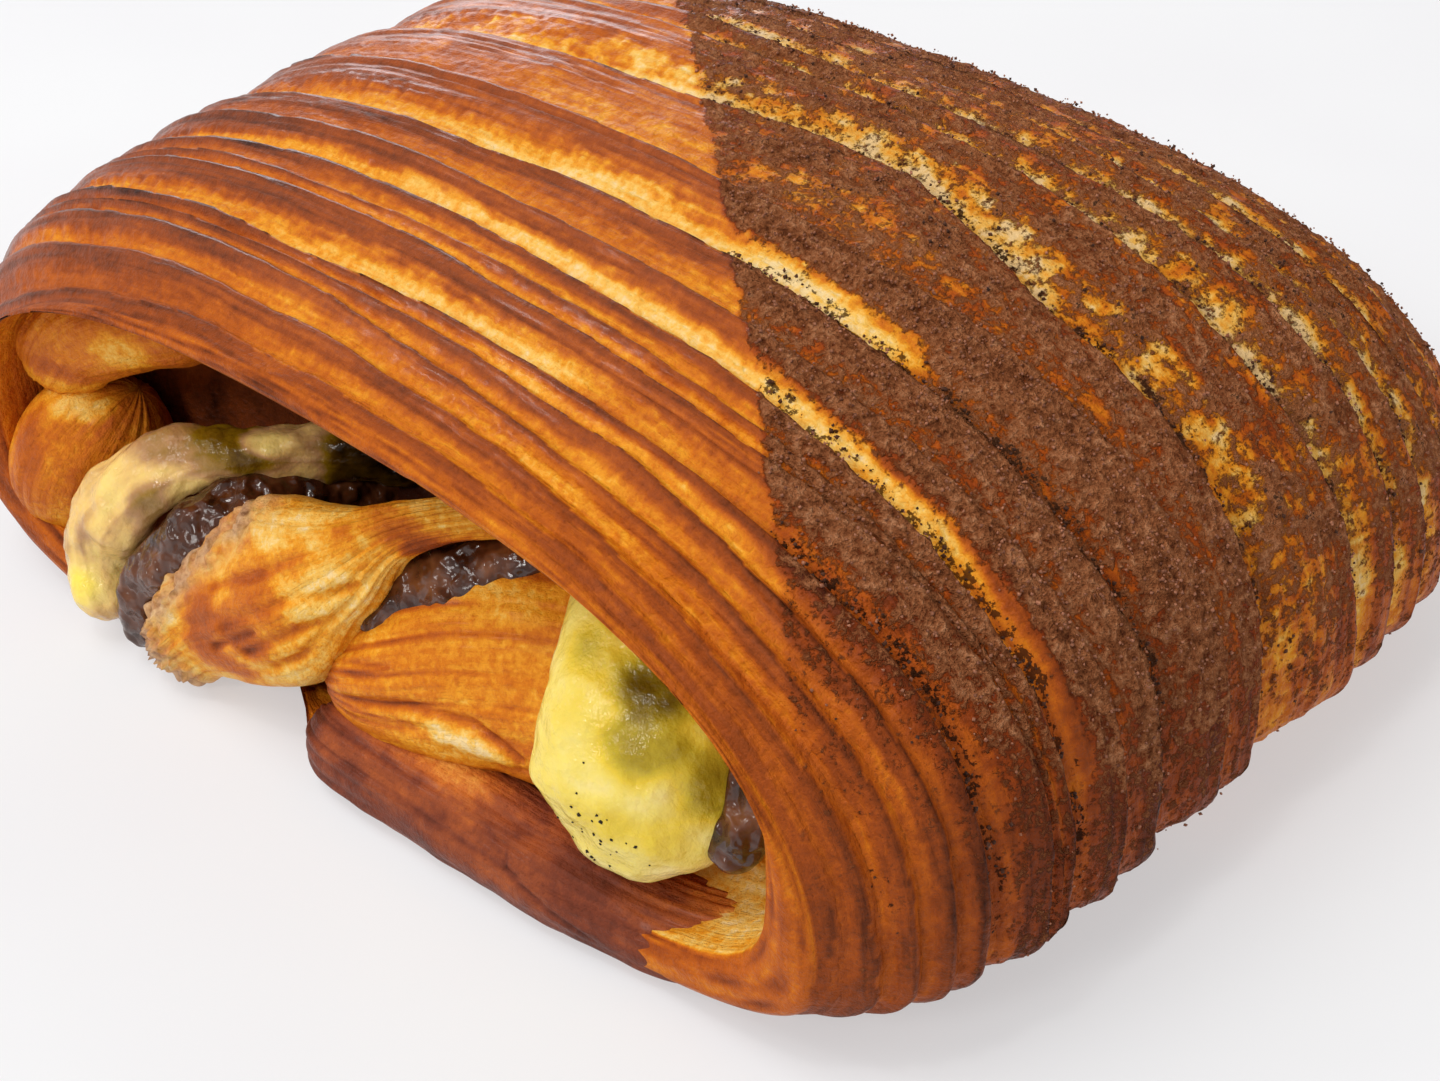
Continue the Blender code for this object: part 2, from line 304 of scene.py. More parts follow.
class Graph:
    """A hand for laying out shader nodes in one tree."""

    def __init__(self, tree: bpy.types.NodeTree) -> None:
        """Take the tree.

        Args:
            tree: Node tree of a material or a group.
        """
        self.tree = tree

    def node(self, kind: str, **settings: object) -> bpy.types.Node:
        """Add a node and set its properties.

        Args:
            kind: Blender's name for the kind of node.
            settings: Properties to set on it.

        Returns:
            The new node.
        """
        made = self.tree.nodes.new(kind)
        for label, value in settings.items():
            setattr(made, label, value)
        return made

    def feed(self, target: Socket, source: object) -> None:
        """Link a socket to a target, or set the target's own value.

        Args:
            target: Input socket.
            source: Output socket or plain value.
        """
        if isinstance(source, Socket):
            self.tree.links.new(source, target)
        else:
            target.default_value = source

    def math(self, operation: str, *inputs: object, clamp: bool = False) -> Socket:
        """Return the result of a math node on the inputs.

        Args:
            operation: Blender's name for the operation.
            inputs: Sockets or numbers.
            clamp: Whether the result stays within 0 to 1.

        Returns:
            The output socket.
        """
        made = self.node("ShaderNodeMath", operation=operation, use_clamp=clamp)
        for socket, source in zip(made.inputs, inputs):
            self.feed(socket, source)
        return made.outputs[0]

    def attribute(self, label: str) -> Socket:
        """Return a point attribute's value."""
        return self.node("ShaderNodeAttribute", attribute_name=label).outputs["Fac"]

    def place(self) -> Socket:
        """Return the place on the object in millimetres.

        Returns:
            A vector socket.
        """
        where = self.node("ShaderNodeTexCoord").outputs["Object"]
        scale = self.node("ShaderNodeVectorMath", operation="MULTIPLY")
        self.feed(scale.inputs[0], where)
        self.feed(scale.inputs[1], (1.0 / MM, 1.0 / MM, 1.0 / MM))
        return scale.outputs[0]

    def noise(self, where: object, scale: float, detail: float = 2.0, rough: float = 0.5) -> Socket:
        """Return smooth noise of 0 to 1, at so many waves for each millimetre.

        Args:
            where: Place to read at.
            scale: Waves for each millimetre.
            detail: Layers of finer noise.
            rough: Strength of the finer layers.

        Returns:
            The output socket.
        """
        made = self.node("ShaderNodeTexNoise")
        self.feed(made.inputs["Vector"], where)
        for label, value in (("Scale", scale), ("Detail", detail), ("Roughness", rough)):
            self.feed(made.inputs[label], value)
        return made.outputs["Fac"]

    def window(self, value: object, low: object, high: object) -> Socket:
        """Ease from 0 to 1 as the value goes from low to high.

        Args:
            value: Value to judge.
            low: Where the rise starts.
            high: Where it ends.

        Returns:
            The output socket.
        """
        made = self.node("ShaderNodeMapRange", interpolation_type="SMOOTHSTEP")
        for label, source in (("Value", value), ("From Min", low), ("From Max", high)):
            self.feed(made.inputs[label], source)
        return made.outputs["Result"]

    def ramp(self, value: object, stops: Stops) -> Socket:
        """Return the colour that a ramp of (place, colour) stops has at the value.

        Args:
            value: Place on the ramp.
            stops: Places and linear colours.

        Returns:
            A colour socket.
        """
        made = self.node("ShaderNodeValToRGB")
        elements = made.color_ramp.elements
        while len(elements) < len(stops):
            elements.new(0.5)
        for element, (where, colour) in zip(elements, stops):
            element.position = where
            element.color = colour
        self.feed(made.inputs["Fac"], value)
        return made.outputs["Color"]

    def mix(self, share: object, first: object, second: object, blend: str = "MIX") -> Socket:
        """Return a mix of two colours.

        Args:
            share: Share of the second colour.
            first: First colour.
            second: Second colour.
            blend: Blender's name for the way to mix.

        Returns:
            A colour socket.
        """
        made = self.node("ShaderNodeMix", data_type="RGBA", blend_type=blend)
        self.feed(made.inputs["Factor"], share)
        self.feed(made.inputs[6], first)
        self.feed(made.inputs[7], second)
        return made.outputs[2]

    def bump(self, height: object, distance: float) -> Socket:
        """Return a normal bent by a height, in millimetres of travel.

        Args:
            height: Height, as a share of the distance.
            distance: Travel in millimetres at a height of 1.

        Returns:
            A normal socket.
        """
        made = self.node("ShaderNodeBump")
        made.inputs["Strength"].default_value = 1.0
        made.inputs["Distance"].default_value = distance * MM
        self.feed(made.inputs["Height"], height)
        return made.outputs["Normal"]


def new_material(name: str) -> tuple[bpy.types.Material, Graph, bpy.types.Node]:
    """Start a material.

    Args:
        name: Name of the material.

    Returns:
        The material, a hand on its tree and its Principled shader.
    """
    material = bpy.data.materials.new(name)
    material.use_nodes = True
    graph = Graph(material.node_tree)
    return material, graph, material.node_tree.nodes["Principled BSDF"]


CRUST_STOPS = shades(
    (0.00, 238, 208, 150),
    (0.12, 238, 190, 92),
    (0.27, 230, 154, 38),
    (0.42, 208, 118, 24),
    (0.56, 184, 92, 24),
    (0.70, 152, 71, 24),
    (0.86, 112, 52, 22),
    (1.00, 56, 22, 8),
)
# Lower lip crust, pale to dark: its purple-brown cast is partly the crust's own colour, partly a painted
# sheen of the pale floor
LIP_STOPS = shades(
    (0.00, 240, 200, 136),
    (0.22, 226, 152, 66),
    (0.42, 196, 108, 44),
    (0.60, 158, 80, 42),
    (0.78, 120, 58, 38),
    (1.00, 62, 30, 24),
)
# Custard ramps from pale yellow through browned custard; the olive and near-black stops paint shade
DRY_CUSTARD_STOPS = shades(
    (0.00, 252, 226, 96),
    (0.20, 242, 212, 124),
    (0.40, 232, 192, 116),
    (0.58, 186, 140, 92),
    (0.74, 136, 104, 12),
    (0.88, 84, 56, 8),
    (1.00, 22, 11, 4),
)
SOFT_CUSTARD_STOPS = shades(
    (0.00, 244, 226, 160),
    (0.20, 236, 214, 108),
    (0.40, 228, 198, 62),
    (0.60, 192, 168, 44),
    (0.80, 140, 118, 22),
    (0.92, 96, 74, 10),
    (1.00, 50, 32, 6),
)


def baked_grain() -> bpy.types.NodeTree:
    """Return the group of baked dough, built once.

    Returns:
        A group that breaks up a plain bake value with fine layers, blotches and speckle, and gives
        the height of that relief and an uneven roughness.
    """
    found = bpy.data.node_groups.get("baked_grain")
    if found is not None:
        return found
    tree = bpy.data.node_groups.new("baked_grain", "ShaderNodeTree")
    for name in ("Bake", "Layer", "Arc", "Streak", "Blotch", "Rough"):
        tree.interface.new_socket(name=name, in_out="INPUT", socket_type="NodeSocketFloat")
    for name in ("Bake", "Height", "Roughness"):
        tree.interface.new_socket(name=name, in_out="OUTPUT", socket_type="NodeSocketFloat")
    graph = Graph(tree)
    given = graph.node("NodeGroupInput").outputs
    result = graph.node("NodeGroupOutput").inputs
    threads = graph.node("ShaderNodeCombineXYZ")
    graph.feed(threads.inputs["X"], given["Layer"])
    graph.feed(threads.inputs["Y"], graph.math("MULTIPLY", given["Arc"], 0.07))
    fine = graph.noise(threads.outputs[0], 1.9, 4.0, 0.62)
    blotch = graph.noise(graph.place(), 0.16, 3.0, 0.55)
    speckle = graph.noise(graph.place(), 1.3, 3.0, 0.68)
    golden = graph.math("SUBTRACT", 1.0, graph.window(given["Bake"], 0.25, 0.65))
    freckled = graph.math("ADD", graph.math("MULTIPLY", golden, 0.30), 0.28)
    total = given["Bake"]
    for source, share in ((fine, given["Streak"]), (blotch, given["Blotch"]), (speckle, freckled)):
        swing = graph.math("MULTIPLY", graph.math("SUBTRACT", source, 0.5), share)
        total = graph.math("ADD", total, swing)
    graph.feed(result["Bake"], graph.math("MAXIMUM", graph.math("MINIMUM", total, 1.0), 0.0))
    graph.feed(result["Height"], graph.math("ADD", fine, graph.math("MULTIPLY", speckle, 1.3)))
    uneven = graph.math("SUBTRACT", graph.noise(graph.place(), 0.5, 2.0, 0.5), 0.5)
    swing = graph.math("MULTIPLY", uneven, 0.24)
    graph.feed(result["Roughness"], graph.math("ADD", swing, given["Rough"]))
    return tree


@dataclass(frozen=True)
class DoughFinish:
    """Laminated baked dough, from pale crumb to dark crust."""

    name: str
    stops: Stops = CRUST_STOPS
    streak: float = 0.26
    blotch: float = 0.18
    rough: float = 0.36
    coat: float = 0.10
    shine: float = 0.07
    relief: float = 0.25

    def grain(self, graph: Graph) -> bpy.types.Node:
        """Place the shared grain group, fed by the attributes bake, layer and arc.

        Args:
            graph: Hand on the material's tree.

        Returns:
            The group's node.
        """
        made = graph.node("ShaderNodeGroup", node_tree=baked_grain())
        for socket, label in (("Bake", "bake_and_shade"), ("Layer", "layer"), ("Arc", "arc")):
            graph.feed(made.inputs[socket], graph.attribute(label))
        for socket, value in (("Streak", self.streak), ("Blotch", self.blotch), ("Rough", self.rough)):
            made.inputs[socket].default_value = value
        return made

    def crumbed(self, graph: Graph, colour: Socket) -> Socket:
        """Lay the beige of torn crumb over a colour, where the attribute crumb says.

        Args:
            graph: Hand on the material's tree.
            colour: Colour under the crumb.

        Returns:
            A colour socket.
        """
        beige = graph.ramp(graph.noise(graph.place(), 0.9, 3.0, 0.6), shades(
            (0.30, 120, 82, 56),
            (0.50, 186, 142, 104),
            (0.72, 214, 176, 134),
        ))
        return graph.mix(graph.attribute("crumb"), colour, beige)

    def build(self) -> bpy.types.Material:
        """Return the material.

        Returns:
            The finished material.
        """
        material, graph, shader = new_material(self.name)
        grain = self.grain(graph)
        colour = self.crumbed(graph, graph.ramp(grain.outputs["Bake"], self.stops))
        graph.feed(shader.inputs["Base Color"], colour)
        graph.feed(shader.inputs["Roughness"], grain.outputs["Roughness"])
        shader.inputs["Coat Weight"].default_value = self.coat
        shader.inputs["Coat Roughness"].default_value = 0.22
        shader.inputs["Specular IOR Level"].default_value = self.shine
        graph.feed(shader.inputs["Normal"], graph.bump(grain.outputs["Height"], self.relief))
        return material


@dataclass(frozen=True)
class CrustFinish(DoughFinish):
    """The outer crust, with cocoa over its dusted half."""

    powder: Stops = shades(
        (0.34, 68, 34, 17),
        (0.45, 132, 76, 44),
        (0.54, 168, 105, 66),
        (0.66, 208, 146, 104),
    )

    def build(self) -> bpy.types.Material:
        """Return the material; it also reads the attributes cocoa and clot.

        Returns:
            The finished material.
        """
        material, graph, shader = new_material(self.name)
        grain = self.grain(graph)
        crust = graph.ramp(grain.outputs["Bake"], self.stops)
        cover, clot = graph.attribute("cocoa"), graph.attribute("clot")
        clump = graph.noise(graph.place(), 0.95, 4.0, 0.68)
        fine = graph.noise(graph.place(), 2.6, 3.0, 0.65)
        heap = graph.math("ADD", graph.math("MULTIPLY", clump, 0.62), graph.math("MULTIPLY", fine, 0.38))
        low = graph.math("SUBTRACT", 0.57, graph.math("MULTIPLY", cover, 0.30))
        dust = graph.window(heap, low, graph.math("ADD", low, 0.09))
        dust = graph.math("MULTIPLY", dust, graph.window(cover, 0.01, 0.10))
        film = graph.math("MULTIPLY", graph.window(cover, 0.0, 0.8), 0.5)
        film = graph.math("ADD", film, graph.math("MULTIPLY", graph.window(cover, 0.0, 0.30), 0.35))
        stained = graph.mix(film, crust, linear(196, 158, 132), "MULTIPLY")
        thin = graph.math("SUBTRACT", 1.0, graph.window(cover, 0.08, 0.55))
        shade = graph.math("SUBTRACT", heap, graph.math("MULTIPLY", thin, 0.21))
        powder = graph.ramp(shade, self.powder)
        colour = graph.mix(graph.math("MULTIPLY", dust, 0.94), stained, powder)
        sparse = graph.math("SUBTRACT", 0.66, graph.math("MULTIPLY", clot, 0.17))
        spots = graph.window(heap, sparse, graph.math("ADD", sparse, 0.04))
        spots = graph.math("MULTIPLY", spots, graph.window(clot, 0.03, 0.25))
        colour = graph.mix(graph.math("MULTIPLY", spots, 0.85), colour, linear(50, 26, 14))
        graph.feed(shader.inputs["Base Color"], colour)
        matt = graph.math("MAXIMUM", dust, spots)
        rough = graph.math("MULTIPLY", matt, 0.5)
        rough = graph.math("ADD", grain.outputs["Roughness"], rough, clamp=True)
        graph.feed(shader.inputs["Roughness"], rough)
        bare = graph.math("SUBTRACT", 1.0, matt)
        graph.feed(shader.inputs["Coat Weight"], graph.math("MULTIPLY", bare, graph.attribute("glaze")))
        shader.inputs["Coat Roughness"].default_value = 0.22
        shader.inputs["Specular IOR Level"].default_value = self.shine
        over = graph.math("MAXIMUM", graph.math("SUBTRACT", heap, low), 0.0)
        over = graph.math("MULTIPLY", over, graph.window(cover, 0.01, 0.25))
        relief = graph.math("ADD", grain.outputs["Height"], graph.math("MULTIPLY", over, 9.0))
        graph.feed(shader.inputs["Normal"], graph.bump(relief, self.relief))
        return material


@dataclass(frozen=True)
class CustardFinish:
    """Baked vanilla custard: glossy, slightly clear, browned where it dried, and painted dark where shade
    lies on it.
    """

    name: str
    stops: Stops
    rough: float = 0.16
    glow: float = 0.20
    cloud: float = 0.35

    def build(self) -> bpy.types.Material:
        """Return the material; it reads the attribute tone.

        Returns:
            The finished material.
        """
        material, graph, shader = new_material(self.name)
        cloud = graph.noise(graph.place(), 0.40, 4.0, 0.6)
        swing = graph.math("MULTIPLY", graph.math("SUBTRACT", cloud, 0.5), self.cloud)
        tone = graph.math("ADD", graph.attribute("tone"), swing, clamp=True)
        graph.feed(shader.inputs["Base Color"], graph.ramp(tone, self.stops))
        wet = graph.noise(graph.place(), 0.9, 2.0, 0.5)
        swing = graph.math("MULTIPLY", graph.math("SUBTRACT", wet, 0.5), 0.5)
        graph.feed(shader.inputs["Roughness"], graph.math("ADD", swing, self.rough))
        shader.inputs["Specular IOR Level"].default_value = 0.35
        shader.inputs["Subsurface Weight"].default_value = self.glow
        shader.inputs["Subsurface Radius"].default_value = (0.9, 0.7, 0.2)
        shader.inputs["Subsurface Scale"].default_value = 2.0 * MM
        relief = graph.noise(graph.place(), 0.7, 4.0, 0.55)
        graph.feed(shader.inputs["Normal"], graph.bump(relief, 0.35))
        return material


@dataclass(frozen=True)
class ChocolateFinish:
    """Melted and set chocolate: nearly black, lumpy and shining."""

    name: str = "melted_chocolate"

    def build(self) -> bpy.types.Material:
        """Return the material.

        Returns:
            The finished material.
        """
        material, graph, shader = new_material(self.name)
        lumps = graph.noise(graph.place(), 0.42, 1.6, 0.5)
        shade = graph.noise(graph.place(), 0.30, 2.0, 0.5)
        graph.feed(shader.inputs["Base Color"], graph.ramp(shade, shades(
            (0.30, 44, 19, 8),
            (0.55, 88, 46, 22),
            (0.75, 136, 84, 50),
        )))
        rough = graph.math("MULTIPLY", graph.noise(graph.place(), 0.8, 1.0, 0.5), 0.34)
        graph.feed(shader.inputs["Roughness"], rough)
        shader.inputs["Specular IOR Level"].default_value = 0.5
        shader.inputs["Coat Weight"].default_value = 0.35
        shader.inputs["Coat Roughness"].default_value = 0.10
        graph.feed(shader.inputs["Normal"], graph.bump(lumps, 2.2))
        return material


@dataclass(frozen=True)
class PowderFinish:
    """Loose cocoa grains."""

    name: str
    light: Triple
    dark: Triple

    def build(self) -> bpy.types.Material:
        """Return the material.

        Returns:
            The finished material.
        """
        material, graph, shader = new_material(self.name)
        tone = graph.noise(graph.place(), 1.4, 2.0, 0.6)
        stops = shades((0.3, *self.dark), (0.7, *self.light))
        graph.feed(shader.inputs["Base Color"], graph.ramp(tone, stops))
        shader.inputs["Roughness"].default_value = 0.9
        return material


@dataclass(frozen=True)
class Ridge:
    """One ridge of the laminated dough: the line where it steps down to the groove behind it.

    The path is (arc, y) in millimetres, with the arc measured over the roll from low on its +X side.
    """

    path: tuple[tuple[float, float], ...]
    depth: float
    pale: float
    width: float
    crest: float = 0.66
    span: tuple[float, float] = (-50.0, 300.0)

    def line(self, arc: Array) -> Array:
        """Return y of the step at each arc."""
        arcs, places = zip(*self.path)
        return np.interp(arc, arcs, places)


RIDGES = (
    Ridge(((20, -48.9), (60, -48.9), (100, -48.3), (140, -48.5)), 0.6, 0.25, 0.7, 0.56),
    Ridge(
        ((20, -47.2), (50, -47.3), (70, -46.4), (90, -45.3), (100, -44.8), (140, -44.5)),
        1.0, 0.50, 1.0, 0.60,
    ),
    Ridge(
        ((20, -45.0), (57, -44.7), (75, -43.9), (90, -42.7), (105, -41.3), (140, -41.0)),
        0.75, 0.35, 0.7, 0.60,
    ),
    Ridge(
        ((20, -42.3), (58, -42.2), (72, -40.9), (85, -40.5), (97, -39.7), (140, -39.6)),
        0.85, 0.60, 1.0, 0.64, (50, 97),
    ),
    Ridge(
        ((20, -39.9), (60, -39.2), (80, -38.4), (100, -38.1), (112, -38.6), (140, -37.8)),
        1.35, 0.86, 1.2, 0.68, (78, 300),
    ),
    Ridge(
        ((20, -34.4), (55, -34.1), (68, -34.6), (80, -33.9), (92, -33.4), (105, -32.6), (140, -32.6)),
        0.85, 0.5, 0.7, 0.66,
    ),
    Ridge(
        ((20, -33.4), (65, -33.0), (75, -32.4), (85, -31.7), (95, -31.1), (140, -31.2)),
        0.6, 0.4, 0.5, 0.60,
    ),
    Ridge(
        ((20, -32.1), (45, -31.6), (62, -30.6), (80, -29.7), (95, -28.9), (103, -28.3), (140, -28.9)),
        1.6, 0.95, 1.3, 0.66, (26, 300),
    ),
    Ridge(((20, -26.4), (60, -25.6), (90, -24.4), (140, -24.0)), 0.6, 0.35, 0.9, 0.66),
    Ridge(
        ((20, -21.7), (42, -21.5), (60, -20.6), (76, -19.8), (101, -19.2), (110, -20.3), (140, -20.0)),
        2.0, 1.0, 1.7, 0.68, (60, 300),
    ),
    Ridge(((20, -13.0), (70, -12.6), (100, -11.7), (140, -11.6)), 0.5, 0.30, 0.8, 0.56),
    Ridge(
        ((20, -8.8), (45, -7.2), (62, -6.2), (72, -3.6), (80, -1.0), (90, -1.3), (104, -3.2), (140, -4.3)),
        1.9, 0.90, 1.5, 0.60, (60, 300),
    ),
    Ridge(
        ((20, 6.1), (28, 5.0), (38, 4.0), (50, 4.1), (70, 6.0), (90, 7.0), (140, 7.2)),
        1.3, 0.6, 1.6, 0.60,
    ),
    Ridge(((20, 11.4), (57, 12.0), (80, 11.4), (140, 11.0)), 1.3, 0.7, 1.8, 0.60),
    Ridge(((20, 17.4), (50, 17.2), (66, 16.6), (140, 16.4)), 1.25, 0.5, 1.6, 0.60),
    Ridge(((20, 23.4), (70, 22.8), (140, 22.0)), 1.3, 0.7, 1.7, 0.60),
    Ridge(((20, 29.2), (70, 28.4), (140, 28.6)), 1.2, 0.5, 1.6, 0.60),
    Ridge(((20, 34.6), (70, 34.2), (140, 33.6)), 1.1, 0.6, 1.5, 0.60),
    Ridge(((20, 39.8), (140, 39.4)), 0.95, 0.5, 1.4, 0.60),
    Ridge(((20, 44.6), (140, 44.4)), 0.8, 0.5, 1.2, 0.60),
    Ridge(((20, 48.6), (140, 48.4)), 0.4, 0.5, 1.0, 0.60),
)


@dataclass
class RidgeMap:
    """What the ridges say at each point of the skin, in millimetres and shares."""

    arc: Array
    layer: Array
    behind: Array
    gap: Array
    depth: Array
    pale: Array
    width: Array
    crest: Array

    def on_crest(self) -> Array:
        """Return 1 on a crest and 0 in a groove."""
        return smooth((self.behind / self.gap - 0.42) / 0.30)

    def in_groove(self) -> Array:
        """Return 1 in a groove and 0 on a crest."""
        return smooth((0.78 - self.behind / self.gap) / 0.4) * smooth(self.behind / 0.38)

    def seen(self) -> Array:
        """Return the distance behind the step, less what the step itself hides."""
        return self.behind - 0.8 * self.depth

    def threads(self) -> Array:
        """Return the fine layers of the dough, about -1 to 1."""
        noise = Noise(13)
        coarse = noise.read(self.layer / 0.46, self.arc / 38.0)
        return coarse + 0.6 * noise.read(self.layer / 0.21, self.arc / 22.0, 4.0)

    def cuts(self) -> Array:
        """Return 1 in the thin creases between layers."""
        return hairline(Noise(13).read(self.layer / 1.15, self.arc / 30.0, 9.0))

    def bubbles(self, coarse: float, fine: float) -> Array:
        """Return the crumb's bubbles, with the given strengths of the coarse and fine ones.

        Args:
            coarse: Strength of the coarse bubbles.
            fine: Strength of the fine ones.

        Returns:
            Values around 0.
        """
        cells = Noise(14).cells
        broad = coarse * (0.5 - cells(self.arc, self.layer / 1.5))
        return broad + fine * (0.5 - cells(self.arc / 0.9 + 40.0, self.layer / 0.9))


@dataclass
class RollForm:
    """The plain outer form of the roll, before its ridges: a hoop for every y."""

    width: float = 120.0
    length: float = 106.3
    height: float = 44.9
    shoulder: float = 12.4
    top_fullness: float = 2.70
    rim_fullness: float = 2.30
    bottom_fullness: float = 2.28
    front_squareness: float = 6.13
    back_squareness: float = 2.96
    front_drop: float = 0.147
    back_drop: float = 0.474
    front_fall: float = 0.10
    back_fall: float = 0.35
    flat_rise: float = 0.8
    rim_y: float = -50.7

    def plan_share(self, y: Array) -> Array:
        """Return the share of the full half width at each y.

        Args:
            y: Places along the roll.

        Returns:
            Shares of 0 to 1.
        """
        along = np.abs(y) / (self.length / 2)
        power = np.where(y < 0, self.front_squareness, self.back_squareness)
        return np.maximum(1.0 - along ** power, 0.0) ** (1.0 / power)

    def crown(self, y: Array) -> Array:
        """Return the height of the roll at each y.

        Args:
            y: Places along the roll.

        Returns:
            Heights in millimetres.
        """
        along = y / (self.length / 2)
        drop = np.where(y > 0, self.back_drop, self.front_drop)
        fall = np.where(y > 0, self.back_fall, self.front_fall)
        return self.height * (1.0 - drop * along * along) * self.plan_share(y) ** fall

    def hoop(self, y: Array, turn: Array) -> Array:
        """Return points of the hoops.

        Args:
            y: Place of each hoop, shaped to broadcast with turn.
            turn: Angle of each point round its hoop.

        Returns:
            Points, with x, y and z along the last axis.
        """
        y, turn = np.broadcast_arrays(y, turn)
        half, top = self.width / 2 * self.plan_share(y), self.crown(y)
        shoulder = self.shoulder * np.minimum(1.0, top / self.height)
        flat = np.minimum(self.flat_rise, shoulder / 4)
        towards_rim = smooth(5.0 * (y / self.rim_y - 0.8))
        fullness = self.top_fullness + (self.rim_fullness - self.top_fullness) * towards_rim
        across, up = np.cos(turn), np.sin(turn)
        above = up >= 0.0
        power = np.where(above, 2.0 / fullness, 2.0 / self.bottom_fullness)
        rise = np.abs(up) ** power
        x = half * np.sign(across) * np.abs(across) ** power
        low = (np.maximum(shoulder * (1.0 - rise), flat) - flat) * shoulder / (shoulder - flat)
        z = np.where(above, shoulder + (top - shoulder) * rise, low)
        return np.stack([x, y, z], axis=-1)


